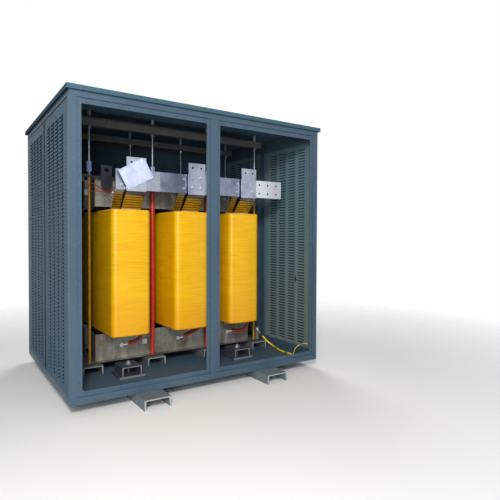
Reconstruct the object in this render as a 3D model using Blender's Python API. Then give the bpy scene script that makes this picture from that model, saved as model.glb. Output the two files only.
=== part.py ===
"""Dry-type power transformer inside its louvred sheet steel enclosure.

The two front panels are off, so the open front shows the active part: three wound coils on a
laminated core, held between slotted clamps by eight tie rods that run up to the roof.
Metres, +Z up, front towards -Y. The origin is on the ground under the middle of the enclosure.
"""
import math

import bmesh
import bpy
from mathutils import Matrix, Vector

# Clearance between separate pieces that touch
GAP = 0.0003
# How far one part of a welded or bolted piece runs into the next
WELD = 0.001
# How far a cutter runs past the face that it cuts
OVERRUN = 0.004

# Enclosure overall sizes
WIDTH = 2.200
DEPTH = 1.700
HEIGHT = 2.150
FRAME_SHEET = 0.003
FLANGE_STEP = 0.008

# Skids under the enclosure, inverted channels
SKID_WIDTH = 0.200
SKID_HEIGHT = 0.075
SKID_WEB = 0.0085
SKID_TIP = 0.009
SKID_ROOT = 0.014
SKID_OVERHANG = 0.170
SKID_SPACING = 1.060

# Base frame, top frame, posts and mullions
BASE_FACE = 0.048
BASE_FLANGE = 0.035
BASE_RETURN = 0.045
TOP_FACE = 0.072
TOP_FLANGE = 0.038
TOP_RETURN = 0.045
POST_FACE = 0.050
POST_FLANGE = 0.032
MULLION_FACE = 0.060
MULLION_FLANGE = 0.030
SIDE_STUD_WIDTH = 0.100
SIDE_STUD_RETURN = 0.022

# Roof tray
ROOF_OVERHANG = 0.019
ROOF_LIP = 0.032
ROOF_SHEET = 0.003

# Floor tray
FLOOR_SHEET = 0.004
FLOOR_TOP = 0.045
FLOOR_PLAY = 0.001

# Louvred wall panels
PANEL_SHEET = 0.002
PANEL_PLAY = 0.0015
# Pressed louvres in columns, each a hood that leans out over its open lower edge
LOUVRE_LENGTH = 0.100
LOUVRE_PITCH = 0.027
LOUVRE_PROUD = 0.0075
LOUVRE_MARGIN_TOP = 0.0832
LOUVRE_MARGIN_BOTTOM = 0.050
COLUMN_COUNT = 4
COLUMN_PITCH = 0.150

# Active part: place in the enclosure and the spacing of its three legs
ACTIVE_X = -0.015
ACTIVE_Y = 0.010
LEG_PITCH = 0.535
LEG_COUNT = 3
TIE_OFFSET = 0.280

# Foot channels
FOOT_WIDTH = 0.160
FOOT_HEIGHT = 0.065
FOOT_LENGTH = 0.760
FOOT_WEB = 0.0075
FOOT_TIP = 0.008
FOOT_ROOT = 0.012

# Clamps
CLAMP_HALF_LENGTH = 0.750
CLAMP_FLANGE_HALF_LENGTH = 0.865
LOWER_CLAMP_HEIGHT = 0.225
UPPER_CLAMP_HEIGHT = 0.240
CLAMP_PLATE = 0.008
CLAMP_FRONT = 0.255
CLAMP_FLANGE = 0.060
CLAMP_RETURN = 0.180
UPPER_CLAMP_TOP = 1.625
TIE_HOLE_PLAY = 0.002
COIL_PAD_WIDTH = 0.060
COIL_PAD_DEPTH = 0.050
COIL_PAD_LAP = 0.030
COIL_PAD_SPREAD = 0.120

# Lifting lugs on the upper clamps
LUG_WIDTH = 0.088
LUG_THICKNESS = 0.010
LUG_RISE = 0.090
LUG_DROP = 0.105
LUG_HOLE_RADIUS = 0.019
LUG_HOLE_DOWN = 0.037
LUG_OFFSET = 0.677

# Core
LIMB_WIDTH = 0.180
YOKE_HEIGHT = 0.180
UPPER_YOKE_TOP = 1.590

# Coils
COIL_BOTTOM = 0.350
COIL_TOP = 1.355
COIL_HALF_WIDTH = 0.160
COIL_HALF_DEPTH = 0.522
COIL_SIDE_BULGE = 0.010
COIL_END_BULGE = 0.008
COIL_CORNER = 0.045
COIL_EDGE = 0.008
COIL_BORE_PLAY = 0.010
COIL_BORE_CORNER = 0.015
DUCT_WIDTH = 0.022
DUCT_FROM_END = 0.187
DUCT_HALF_LENGTH = 0.095

# Tie rods that go on as lifting rods to the roof
TIE_RADIUS_MIDDLE = 0.018
TIE_RADIUS_END = 0.010
NUT_RADIUS = 0.019
NUT_HEIGHT = 0.018
ROD_RADIUS = 0.0085
COUPLING_RADIUS = 0.018
COUPLING_RISE = 0.017
COUPLING_LENGTH = 0.085
HANGER_RADIUS = 0.014
HANGER_LENGTH = 0.064
ROD_SIDES = 8

# Beams under the roof, open channels threaded on the rods
BEAM_HEIGHT = 0.055
BEAM_WIDTH = 0.062
BEAM_PLATE = 0.005
BEAM_DROP = 0.123
BEAM_HALF_LENGTH = 0.865

# Aluminium busbars
BAR_WIDTH = 0.160
BAR_THICKNESS = 0.010
BAR_RISE = 0.010
TERMINAL_OFFSET = 0.540
TERMINAL_START = 0.410
TERMINAL_SHIFT = 0.030
TERMINAL_BEND = 1.500
TERMINAL_TOP = 1.766
STAR_OFFSET = 0.505
STAR_START = 0.385
STAR_SHIFT = -0.048
STAR_BOTTOM = 1.510
STAR_LENGTH = 1.620
HOLE_RADIUS = 0.007
HOLE_PITCH = 0.080
HOLE_MARGIN = 0.040
STAR_HOLE_PITCH = 0.098
STAR_HOLE_MARGIN = 0.061
STAR_HOLE_COLUMNS = 3

# Anchor blocks that clamp the floor to the skids
BLOCK_PLATE_WIDTH = 0.205
BLOCK_PLATE_DEPTH = 0.210
BLOCK_PLATE_THICKNESS = 0.015
BLOCK_WIDTH = 0.156
BLOCK_DEPTH = 0.185
BLOCK_HEIGHT = 0.070
BLOCK_FROM_FRONT = 0.350
BLOCK_SHIFT_LEFT = -0.035
BLOCK_SHIFT_RIGHT = -0.070
BOLT_RADIUS = 0.010
BOLT_PROUD = 0.026
BOLT_NUT_RADIUS = 0.017
BOLT_NUT_HEIGHT = 0.014

# Document pouch on the first terminal
POUCH_WIDTH = 0.225
POUCH_HEIGHT = 0.157
POUCH_THICKNESS = 0.006
POUCH_TILT = math.radians(27.5)
POUCH_UP = 1.635
POUCH_SHIFT = 0.034

# High voltage leads that hang from the coils, each with a ring lug on its free end
LEAD_RADIUS = 0.009
LEAD_OFFSET = 0.400
LUG_RING_RADIUS = 0.015
LUG_RING_HOLE = 0.0065
LUG_RING_THICKNESS = 0.006
LUG_NECK_HALF_WIDTH = 0.007
LUG_NECK_LENGTH = 0.031
# Routes from the lug's neck up to the coil: distance from the leg's middle, level
LEAD_ROUTES = (
    ((-0.014, 0.261), (0.020, 0.262), (0.065, 0.268), (0.104, 0.288), (0.120, 0.316)),
    ((-0.053, 0.259), (-0.020, 0.262), (0.035, 0.284), (0.088, 0.300), (0.119, 0.320)),
    ((-0.083, 0.258), (-0.040, 0.255), (0.040, 0.247), (0.095, 0.266), (0.119, 0.308)),
)
LEAD_END = 0.122

# Earth cable from a tab on the front lower clamp down to the floor
TAB_START = 0.808
TAB_WIDTH = 0.034
TAB_THICKNESS = 0.008
TAB_INSET = 0.004
TAB_HEIGHT = 0.127
EARTH_RADIUS = 0.008
EARTH_LUG_DOWN = 0.024
EARTH_LUG_TILT = math.radians(-54.0)
EARTH_NECK_LENGTH = 0.045
# Route along the floor: x, y, height of the cable's middle above where it rests
EARTH_ROUTE = (
    (0.875, -0.326, 0.102), (0.915, -0.352, 0.048), (0.945, -0.400, 0.010), (0.930, -0.490, 0.001),
    (0.903, -0.590, 0.0), (0.900, -0.700, 0.0), (0.905, -0.812, 0.0),
)

# Facets on round work
ARC_STEPS = 4
HOLE_SIDES = 8
TUBE_RESOLUTION = 2
# Distance between a cable's points as a share of its diameter
CABLE_STEP_SHARE = 2.2

# Levels worked out from the sizes above, measured from the underside of the enclosure
FOOT_BASE = FLOOR_TOP + GAP
FOOT_TOP = FOOT_BASE + FOOT_HEIGHT
CLAMP_BASE = FOOT_TOP + GAP
CEILING = HEIGHT - ROOF_SHEET
BEAM_BOTTOM = CEILING - BEAM_DROP
FLANGE_BACK = FLANGE_STEP + FRAME_SHEET
INNER_STEP = FLANGE_BACK + GAP
STACK_HALF_DEPTH = CLAMP_FRONT - CLAMP_PLATE - GAP


def material(name, colour, roughness, metallic):
    """A plain finish for one sub-part."""
    finish = bpy.data.materials.new(name)
    finish.use_nodes = True
    shader = finish.node_tree.nodes["Principled BSDF"]
    shader.inputs["Base Color"].default_value = (*colour, 1.0)
    shader.inputs["Roughness"].default_value = roughness
    shader.inputs["Metallic"].default_value = metallic
    return finish


def add_piece(name, mesh, finish, parent, location=(0.0, 0.0, 0.0)):
    """Put a mesh in the scene as one named sub-part."""
    mesh.name = name
    piece = bpy.data.objects.new(name, mesh)
    piece.data.materials.clear()
    piece.data.materials.append(finish)
    piece.parent = parent
    piece.location = location
    bpy.context.collection.objects.link(piece)
    return piece


def finished_mesh(bm):
    """Close a bmesh into a mesh with its faces pointing out."""
    bmesh.ops.recalc_face_normals(bm, faces=bm.faces)
    if bm.calc_volume(signed=True) < 0.0:
        bmesh.ops.reverse_faces(bm, faces=bm.faces)
    mesh = bpy.data.meshes.new("piece")
    bm.to_mesh(mesh)
    bm.free()
    return mesh


def prism(outline, length, place):
    """Extrude an outline of (u, v) points by a length along w; place maps u, v, w to a point."""
    bm = bmesh.new()
    near = [bm.verts.new(place(u, v, 0.0)) for u, v in outline]
    far = [bm.verts.new(place(u, v, length)) for u, v in outline]
    count = len(outline)
    for i in range(count):
        j = (i + 1) % count
        bm.faces.new((near[i], near[j], far[j], far[i]))
    caps = [bm.faces.new(near), bm.faces.new(far)]
    bm.normal_update()
    bmesh.ops.triangulate(bm, faces=caps)
    return finished_mesh(bm)


def block(size, centre=(0.0, 0.0, 0.0)):
    """A rectangular block of a given size about a centre."""
    bm = bmesh.new()
    bmesh.ops.create_cube(bm, size=1.0)
    bmesh.ops.scale(bm, vec=size, verts=bm.verts)
    bmesh.ops.translate(bm, vec=centre, verts=bm.verts)
    return finished_mesh(bm)


def plate(outline, holes, thickness, place):
    """A flat plate with holes cut through it, from an outline and hole loops of (u, v) points."""
    bm = bmesh.new()
    edges = []
    for loop in [outline] + holes:
        verts = [bm.verts.new((u, v, 0.0)) for u, v in loop]
        for i, vert in enumerate(verts):
            edges.append(bm.edges.new((vert, verts[(i + 1) % len(verts)])))
    bmesh.ops.triangle_fill(bm, use_beauty=True, edges=edges)
    face = bmesh.ops.extrude_face_region(bm, geom=list(bm.faces))
    raised = [item for item in face["geom"] if isinstance(item, bmesh.types.BMVert)]
    bmesh.ops.translate(bm, vec=(0.0, 0.0, thickness), verts=raised)
    for vert in bm.verts:
        vert.co = place(*vert.co)
    return finished_mesh(bm)


def circle(radius, sides, u=0.0, v=0.0, turn=0.0):
    """Points round a circle."""
    return [
        (u + radius * math.cos(turn + math.tau * i / sides),
         v + radius * math.sin(turn + math.tau * i / sides))
        for i in range(sides)
    ]


def rectangle(u0, v0, u1, v1):
    """Four corners, anticlockwise."""
    return [(u0, v0), (u1, v0), (u1, v1), (u0, v1)]


def arc(u, v, radius, start, end, steps=ARC_STEPS):
    """Points along an arc from one angle in degrees to another."""
    return [
        (u + radius * math.cos(math.radians(start + (end - start) * i / steps)),
         v + radius * math.sin(math.radians(start + (end - start) * i / steps)))
        for i in range(steps + 1)
    ]


def folded_outline(path, thickness):
    """The outline of a folded sheet: a path and its mitred offset to the left."""
    offset = []
    for i, point in enumerate(path):
        here = Vector(point)
        before = (here - Vector(path[i - 1])).normalized() if i else None
        after = (Vector(path[i + 1]) - here).normalized() if i < len(path) - 1 else None
        first = before if before is not None else after
        second = after if after is not None else before
        normal_a = Vector((-first.y, first.x))
        normal_b = Vector((-second.y, second.x))
        mitre = (normal_a + normal_b) / (1.0 + normal_a.dot(normal_b))
        offset.append(tuple(here + mitre * thickness))
    return list(path) + offset[::-1]


def revolved(profile, sides):
    """Turn a closed-ended profile of (radius, height) points about Z."""
    bm = bmesh.new()
    rings = []
    for radius, height in profile:
        rings.append([bm.verts.new((x, y, height)) for x, y in circle(radius, sides)])
    for lower, upper in zip(rings, rings[1:]):
        for i in range(sides):
            j = (i + 1) % sides
            bm.faces.new((lower[i], lower[j], upper[j], upper[i]))
    bm.faces.new(rings[0])
    bm.faces.new(rings[-1])
    return finished_mesh(bm)


def swept_frame(profile, width, depth):
    """A closed rectangular frame: profile points are (inset, height), with mitred corners."""
    bm = bmesh.new()
    loops = []
    for side_x, side_y in ((-1, -1), (1, -1), (1, 1), (-1, 1)):
        loops.append([
            bm.verts.new((side_x * (width / 2 - inset), side_y * (depth / 2 - inset), height))
            for inset, height in profile
        ])
    count = len(profile)
    for corner in range(len(loops)):
        here, there = loops[corner], loops[(corner + 1) % len(loops)]
        for i in range(count):
            j = (i + 1) % count
            bm.faces.new((here[i], here[j], there[j], there[i]))
    return finished_mesh(bm)


def tray(width, height, depth, sheet, place):
    """A shallow tray, its closed face at w = 0 and its rim at w = depth."""
    bm = bmesh.new()
    loops = []
    for inset, level in ((0.0, depth), (0.0, 0.0), (sheet, depth), (sheet, sheet)):
        half_u, half_v = width / 2 - inset, height / 2 - inset
        loops.append([
            bm.verts.new(place(u, v, level))
            for u, v in rectangle(-half_u, -half_v, half_u, half_v)
        ])
    rim, face, inner_rim, inner_face = loops
    for a, b in ((face, rim), (rim, inner_rim), (inner_rim, inner_face)):
        for i in range(4):
            j = (i + 1) % 4
            bm.faces.new((a[i], a[j], b[j], b[i]))
    bm.faces.new(face)
    bm.faces.new(inner_face)
    return finished_mesh(bm)


def louvred_panel(width, height, depth, sheet, place):
    """A tray whose face carries columns of pressed louvres between its upper and lower margin."""
    bm = bmesh.new()
    top = height / 2 - LOUVRE_MARGIN_TOP
    count = int((height - LOUVRE_MARGIN_TOP - LOUVRE_MARGIN_BOTTOM) / LOUVRE_PITCH)
    loops = []
    for inset, level in ((0.0, depth), (0.0, 0.0), (sheet, depth), (sheet, sheet)):
        half_u, half_v = width / 2 - inset, height / 2 - inset
        loops.append([
            bm.verts.new(place(u, v, level))
            for u, v in rectangle(-half_u, -half_v, half_u, half_v)
        ])
    rim, face, inner_rim, inner_face = loops
    for a, b in ((face, rim), (rim, inner_rim), (inner_rim, inner_face)):
        for i in range(4):
            j = (i + 1) % 4
            bm.faces.new((a[i], a[j], b[j], b[i]))
    bm.faces.new(inner_face)
    edges = [bm.edges.get((face[i], face[(i + 1) % 4])) for i in range(4)]
    for column in range(COLUMN_COUNT):
        middle = (column - (COLUMN_COUNT - 1) / 2) * COLUMN_PITCH
        edges += louvre_column(bm, middle, top, count, place)
    bmesh.ops.triangle_fill(bm, use_beauty=True, edges=edges)
    return finished_mesh(bm)


def louvre_column(bm, middle, top, count, place):
    """One column of louvres in a panel's face; gives the edges where the face meets it."""
    half = LOUVRE_LENGTH / 2
    left, right = [
        [bm.verts.new(place(middle + side * half, top - k * LOUVRE_PITCH, 0.0))
         for k in range(count + 1)]
        for side in (-1, 1)
    ]
    edges = []
    for k in range(count):
        lip_left, lip_right = [
            bm.verts.new(place(middle + side * half, top - (k + 1) * LOUVRE_PITCH, -LOUVRE_PROUD))
            for side in (-1, 1)
        ]
        bm.faces.new((left[k], right[k], lip_right, lip_left))
        bm.faces.new((lip_left, lip_right, right[k + 1], left[k + 1]))
        bm.faces.new((left[k], lip_left, left[k + 1]))
        bm.faces.new((right[k], right[k + 1], lip_right))
        edges += [bm.edges.get((left[k], left[k + 1])), bm.edges.get((right[k], right[k + 1]))]
    return edges + [bm.edges.get((left[0], right[0])), bm.edges.get((left[-1], right[-1]))]


def combined(first, others, operation):
    """One closed mesh from several by Boolean unions or cuts."""
    base = bpy.data.objects.new("combined", first)
    bpy.context.collection.objects.link(base)
    tools = []
    for mesh in others:
        tool = bpy.data.objects.new("tool", mesh)
        tool.hide_render = True
        tool.display_type = "WIRE"
        bpy.context.collection.objects.link(tool)
        tools.append(tool)
        cut = base.modifiers.new("join", "BOOLEAN")
        cut.operation = operation
        cut.object = tool
    bpy.context.view_layer.update()
    shape = base.evaluated_get(bpy.context.evaluated_depsgraph_get())
    result = bpy.data.meshes.new_from_object(shape)
    for item in [base] + tools:
        bpy.data.objects.remove(item)
    return result


def channel_outline(width, height, web, tip, root):
    """An inverted channel with tapered flanges, its web on top."""
    half = width / 2
    return [
        (-half, 0.0), (-half + tip, 0.0), (-half + root, height - web),
        (half - root, height - web), (half - tip, 0.0), (half, 0.0),
        (half, height), (-half, height),
    ]


def along_y(start):
    """Place an outline in the XZ plane and run it back from a start."""
    return lambda u, v, w: (u, start + w, v)


def along_x(start):
    """Place an outline of (y, z) points and run it to the right from a start."""
    return lambda u, v, w: (start + w, u, v)


def upright(u, v, w):
    """Place an outline of (x, y) points and run it up."""
    return (u, v, w)


def make_skids(parent, finish):
    """Two channels front to back that stand out at both ends."""
    length = DEPTH + 2 * SKID_OVERHANG
    outline = channel_outline(SKID_WIDTH, SKID_HEIGHT, SKID_WEB, SKID_TIP, SKID_ROOT)
    for name, side in (("skid_left", -1), ("skid_right", 1)):
        mesh = prism(outline, length, along_y(-length / 2))
        add_piece(name, mesh, finish, parent, (ACTIVE_X + side * SKID_SPACING / 2, 0.0, 0.0))


def make_frame(parent, finish):
    """Base frame, top frame, corner posts, mullions and side studs."""
    base_path = [
        (BASE_RETURN, 0.0), (0.0, 0.0), (0.0, BASE_FACE), (INNER_STEP, BASE_FACE),
        (INNER_STEP, BASE_FACE + BASE_FLANGE),
    ]
    base = swept_frame(folded_outline(base_path, -FRAME_SHEET), WIDTH, DEPTH)
    add_piece("base_frame", base, finish, parent)
    top = CEILING - GAP
    top_path = [
        (TOP_RETURN, top), (0.0, top), (0.0, top - TOP_FACE), (INNER_STEP, top - TOP_FACE),
        (INNER_STEP, top - TOP_FACE - TOP_FLANGE),
    ]
    add_piece("top_frame", swept_frame(folded_outline(top_path, FRAME_SHEET), WIDTH, DEPTH),
              finish, parent)

    foot = BASE_FACE + GAP
    length = top - TOP_FACE - GAP - foot
    reach = POST_FACE + POST_FLANGE
    post_path = [
        (FLANGE_STEP, reach), (FLANGE_STEP, POST_FACE), (0.0, POST_FACE), (0.0, 0.0),
        (POST_FACE, 0.0), (POST_FACE, FLANGE_STEP), (reach, FLANGE_STEP),
    ]
    post = folded_outline(post_path, FRAME_SHEET)
    for name, side_x, side_y in (
        ("post_front_left", 1, 1), ("post_front_right", -1, 1),
        ("post_back_left", 1, -1), ("post_back_right", -1, -1),
    ):
        outline = [(side_x * u, side_y * v) for u, v in post]
        corner = (-side_x * WIDTH / 2, -side_y * DEPTH / 2, foot)
        add_piece(name, prism(outline, length, upright), finish, parent, corner)

    half = MULLION_FACE / 2
    wing = half + MULLION_FLANGE
    mullion_path = [
        (-wing, FLANGE_STEP), (-half, FLANGE_STEP), (-half, 0.0), (half, 0.0),
        (half, FLANGE_STEP), (wing, FLANGE_STEP),
    ]
    mullion = folded_outline(mullion_path, FRAME_SHEET)
    for name, side in (("mullion_front", 1), ("mullion_back", -1)):
        outline = [(u, side * v) for u, v in mullion]
        add_piece(name, prism(outline, length, upright), finish, parent,
                  (0.0, -side * DEPTH / 2, foot))

    foot += BASE_FLANGE
    length -= BASE_FLANGE + TOP_FLANGE
    half = SIDE_STUD_WIDTH / 2
    stud_path = [
        (FLANGE_STEP + SIDE_STUD_RETURN, half), (FLANGE_STEP, half),
        (FLANGE_STEP, -half), (FLANGE_STEP + SIDE_STUD_RETURN, -half),
    ]
    stud = folded_outline(stud_path, FRAME_SHEET)
    for name, side in (("stud_left", 1), ("stud_right", -1)):
        outline = [(side * u, v) for u, v in stud]
        add_piece(name, prism(outline, length, upright), finish, parent,
                  (-side * WIDTH / 2, 0.0, foot))


def make_roof_and_floor(parent, finish):
    """The roof tray that caps the frame and the floor tray that sits in the base frame."""
    roof = tray(WIDTH + 2 * ROOF_OVERHANG, DEPTH + 2 * ROOF_OVERHANG, ROOF_LIP, ROOF_SHEET,
                lambda u, v, w: (u, v, HEIGHT - w))
    add_piece("roof", roof, finish, parent)
    inset = INNER_STEP + FRAME_SHEET + FLOOR_PLAY
    floor = tray(WIDTH - 2 * inset, DEPTH - 2 * inset, FLOOR_TOP - FRAME_SHEET - GAP,
                 FLOOR_SHEET, lambda u, v, w: (u, v, FLOOR_TOP - w))
    add_piece("floor_plate", floor, finish, parent)


def make_panels(parent, finish):
    """Two panels on each side wall and two on the back wall."""
    bottom = BASE_FACE + PANEL_PLAY
    top = CEILING - GAP - TOP_FACE - PANEL_PLAY
    height = top - bottom
    middle = (top + bottom) / 2
    depth = FLANGE_STEP - GAP
    side_width = DEPTH / 2 - POST_FACE - 2 * PANEL_PLAY
    for side_name, side in (("left", -1), ("right", 1)):
        for end_name, end in (("front", -1), ("back", 1)):
            mesh = louvred_panel(side_width, height, depth, PANEL_SHEET,
                                 lambda u, v, w, s=side: (-s * w, u, v))
            y = end * (side_width / 2 + PANEL_PLAY)
            add_piece(f"panel_{side_name}_{end_name}", mesh, finish, parent,
                      (side * WIDTH / 2, y, middle))
    back_width = WIDTH / 2 - POST_FACE - MULLION_FACE / 2 - 2 * PANEL_PLAY
    for side_name, side in (("left", -1), ("right", 1)):
        mesh = tray(back_width, height, depth, PANEL_SHEET, lambda u, v, w: (u, -w, v))
        x = side * (MULLION_FACE / 2 + PANEL_PLAY + back_width / 2)
        add_piece(f"panel_back_{side_name}", mesh, finish, parent, (x, DEPTH / 2, middle))


def tie_places():
    """The four places along the clamps where tie rods stand."""
    return [(i - LEG_COUNT / 2) * LEG_PITCH for i in range(LEG_COUNT + 1)]


def leg_places():
    """The three legs of the core."""
    return [(i - (LEG_COUNT - 1) / 2) * LEG_PITCH for i in range(LEG_COUNT)]


def tie_radius(x):
    """The outer ties are thinner than the ones between the coils."""
    return TIE_RADIUS_MIDDLE if abs(x) < LEG_PITCH else TIE_RADIUS_END


def make_feet(parent, finish):
    """Inverted channels on the floor, one under each pair of tie rods."""
    outline = channel_outline(FOOT_WIDTH, FOOT_HEIGHT, FOOT_WEB, FOOT_TIP, FOOT_ROOT)
    for number, x in enumerate(tie_places(), 1):
        mesh = prism(outline, FOOT_LENGTH, along_y(-FOOT_LENGTH / 2))
        add_piece(f"foot_channel_{number}", mesh, finish, parent, (x, 0.0, FOOT_BASE))


def clamp_mesh(side, upper):
    """A clamp: web, drilled outward flange, end returns and coil pads or lifting lugs."""
    up = -1 if upper else 1
    level = UPPER_CLAMP_TOP if upper else CLAMP_BASE
    height = UPPER_CLAMP_HEIGHT if upper else LOWER_CLAMP_HEIGHT
    front = side * CLAMP_FRONT
    reach = CLAMP_HALF_LENGTH
    back = CLAMP_FRONT - CLAMP_RETURN
    path = [(-reach, back), (-reach, CLAMP_FRONT), (reach, CLAMP_FRONT), (reach, back)]
    web = prism(folded_outline(path, -CLAMP_PLATE), height,
                lambda u, v, w: (u, side * v, level + up * w))
    reach = CLAMP_FLANGE_HALF_LENGTH
    flange_outline = rectangle(-reach, CLAMP_FRONT - CLAMP_PLATE / 2,
                               reach, CLAMP_FRONT + CLAMP_FLANGE)
    holes = [circle(tie_radius(x) + TIE_HOLE_PLAY, HOLE_SIDES, x, TIE_OFFSET)
             for x in tie_places()]
    parts = [plate(flange_outline, holes, CLAMP_PLATE,
                   lambda u, v, w: (u, side * v, level + up * w))]
    if upper:
        for end in (-1, 1):
            parts.append(lug_mesh(end * LUG_OFFSET, side, level))
    else:
        pad_bottom = level + height - COIL_PAD_LAP
        pad_top = COIL_BOTTOM - GAP
        for leg in leg_places():
            for end in (-1, 1):
                x = leg + end * COIL_PAD_SPREAD / 2
                y = front + side * (COIL_PAD_DEPTH / 2 - WELD)
                size = (COIL_PAD_WIDTH, COIL_PAD_DEPTH, pad_top - pad_bottom)
                parts.append(block(size, (x, y, (pad_top + pad_bottom) / 2)))
        if side < 0:
            seat = level + CLAMP_PLATE - WELD
            size = (TAB_WIDTH, TAB_THICKNESS, TAB_HEIGHT + WELD)
            y = TAB_INSET + TAB_THICKNESS / 2 - CLAMP_FRONT - CLAMP_FLANGE
            parts.append(block(size, (TAB_START + TAB_WIDTH / 2, y, seat + size[2] / 2)))
    return combined(web, parts, "UNION")


def lug_mesh(x, side, level):
    """A lifting lug: a drilled plate with a rounded foot, welded to the flange's edge."""
    half = LUG_WIDTH / 2
    outline = [(x + half, level + LUG_RISE), (x - half, level + LUG_RISE)]
    outline += arc(x, level - LUG_DROP + half, half, 180.0, 360.0, 2 * ARC_STEPS)
    hole = circle(LUG_HOLE_RADIUS, HOLE_SIDES, x, level + LUG_RISE - LUG_HOLE_DOWN)
    start = CLAMP_FRONT + CLAMP_FLANGE - WELD
    return plate(outline, [hole], LUG_THICKNESS,
                 lambda u, v, w: (u, side * (start + w), v))


def make_clamps(parent, finish):
    """Four clamps, two below and two above the coils."""
    for end_name, side in (("front", -1), ("back", 1)):
        add_piece(f"lower_clamp_{end_name}", clamp_mesh(side, False), finish, parent)
        add_piece(f"upper_clamp_{end_name}", clamp_mesh(side, True), finish, parent)


def make_core(parent, finish):
    """The laminated core: three limbs between two yokes, with two windows."""
    half = (LEG_COUNT - 1) / 2 * LEG_PITCH + LIMB_WIDTH / 2
    window = LEG_PITCH - LIMB_WIDTH
    window_bottom = CLAMP_BASE + YOKE_HEIGHT
    window_top = UPPER_YOKE_TOP - YOKE_HEIGHT
    windows = [
        rectangle(x - window / 2, window_bottom, x + window / 2, window_top)
        for x in tie_places()[1:-1]
    ]
    outline = rectangle(-half, CLAMP_BASE, half, UPPER_YOKE_TOP)
    core = plate(outline, windows, 2 * STACK_HALF_DEPTH,
                 lambda u, v, w: (u, w - STACK_HALF_DEPTH, v))
    add_piece("core", core, finish, parent)


def bulged_side(start, end, bulge, steps):
    """Points from start to just before end on a side that swells outward by a bulge."""
    a, b = Vector(start), Vector(end)
    along = b - a
    outward = Vector((along.y, -along.x)).normalized()
    points = []
    for i in range(1, steps):
        share = i / steps
        points.append(tuple(a + along * share + outward * bulge * math.sin(math.pi * share)))
    return points


def coil_outline(inset):
    """Plan of a coil: a rectangle with rounded corners and swelling sides."""
    radius = COIL_CORNER - inset
    u, v = COIL_HALF_WIDTH - COIL_CORNER, COIL_HALF_DEPTH - COIL_CORNER
    corners = [((u, v), 0.0), ((-u, v), 90.0), ((-u, -v), 180.0), ((u, -v), 270.0)]
    bulges = [COIL_END_BULGE, COIL_SIDE_BULGE, COIL_END_BULGE, COIL_SIDE_BULGE]
    points = []
    for i, ((cu, cv), angle) in enumerate(corners):
        bend = arc(cu, cv, radius, angle, angle + 90.0)
        (nu, nv), next_angle = corners[(i + 1) % len(corners)]
        following = arc(nu, nv, radius, next_angle, next_angle + 90.0)[0]
        points += bend + bulged_side(bend[-1], following, bulges[i], ARC_STEPS + 2)
    return points


def make_coils(parent, finish):
    """Three wound coils round the limbs, with cooling ducts at front and back."""
    half_u = LIMB_WIDTH / 2 + COIL_BORE_PLAY
    half_v = STACK_HALF_DEPTH + COIL_BORE_PLAY
    r = COIL_BORE_CORNER
    bore = []
    for su, sv, angle in ((1, 1, 0.0), (-1, 1, 90.0), (-1, -1, 180.0), (1, -1, 270.0)):
        bore += arc(su * (half_u - r), sv * (half_v - r), r, angle, angle + 90.0, 2)
    ducts = []
    for side in (-1, 1):
        v = side * (COIL_HALF_DEPTH - DUCT_FROM_END)
        ducts.append(rectangle(-DUCT_HALF_LENGTH, v - DUCT_WIDTH / 2,
                               DUCT_HALF_LENGTH, v + DUCT_WIDTH / 2))
    for number, x in enumerate(leg_places(), 1):
        mesh = coil_mesh([bore] + ducts)
        coil = add_piece(f"coil_{number}", mesh, finish, parent, (x, 0.0, 0.0))
        coil.data.shade_smooth()
        coil.data.set_sharp_from_angle(angle=math.radians(30.0))


def coil_mesh(holes):
    """A coil of one section from bottom to top, its end edges rounded off."""
    bm = bmesh.new()
    rings = []
    for inset, height in (
        (COIL_EDGE, COIL_BOTTOM), (0.0, COIL_BOTTOM + COIL_EDGE),
        (0.0, COIL_TOP - COIL_EDGE), (COIL_EDGE, COIL_TOP),
    ):
        rings.append([bm.verts.new((u, v, height)) for u, v in coil_outline(inset)])
    count = len(rings[0])
    for lower, upper in zip(rings, rings[1:]):
        for i in range(count):
            j = (i + 1) % count
            bm.faces.new((lower[i], lower[j], upper[j], upper[i]))
    hole_rings = []
    for loop in holes:
        low = [bm.verts.new((u, v, COIL_BOTTOM)) for u, v in loop]
        high = [bm.verts.new((u, v, COIL_TOP)) for u, v in loop]
        for i in range(len(loop)):
            j = (i + 1) % len(loop)
            bm.faces.new((low[i], low[j], high[j], high[i]))
        hole_rings.append((low, high))
    for end, outer in ((0, rings[0]), (1, rings[-1])):
        edges = []
        for ring in [outer] + [pair[end] for pair in hole_rings]:
            for i, vert in enumerate(ring):
                edges.append(bm.edges.get((vert, ring[(i + 1) % len(ring)])))
        bmesh.ops.triangle_fill(bm, use_beauty=True, edges=edges)
    return finished_mesh(bm)


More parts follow.
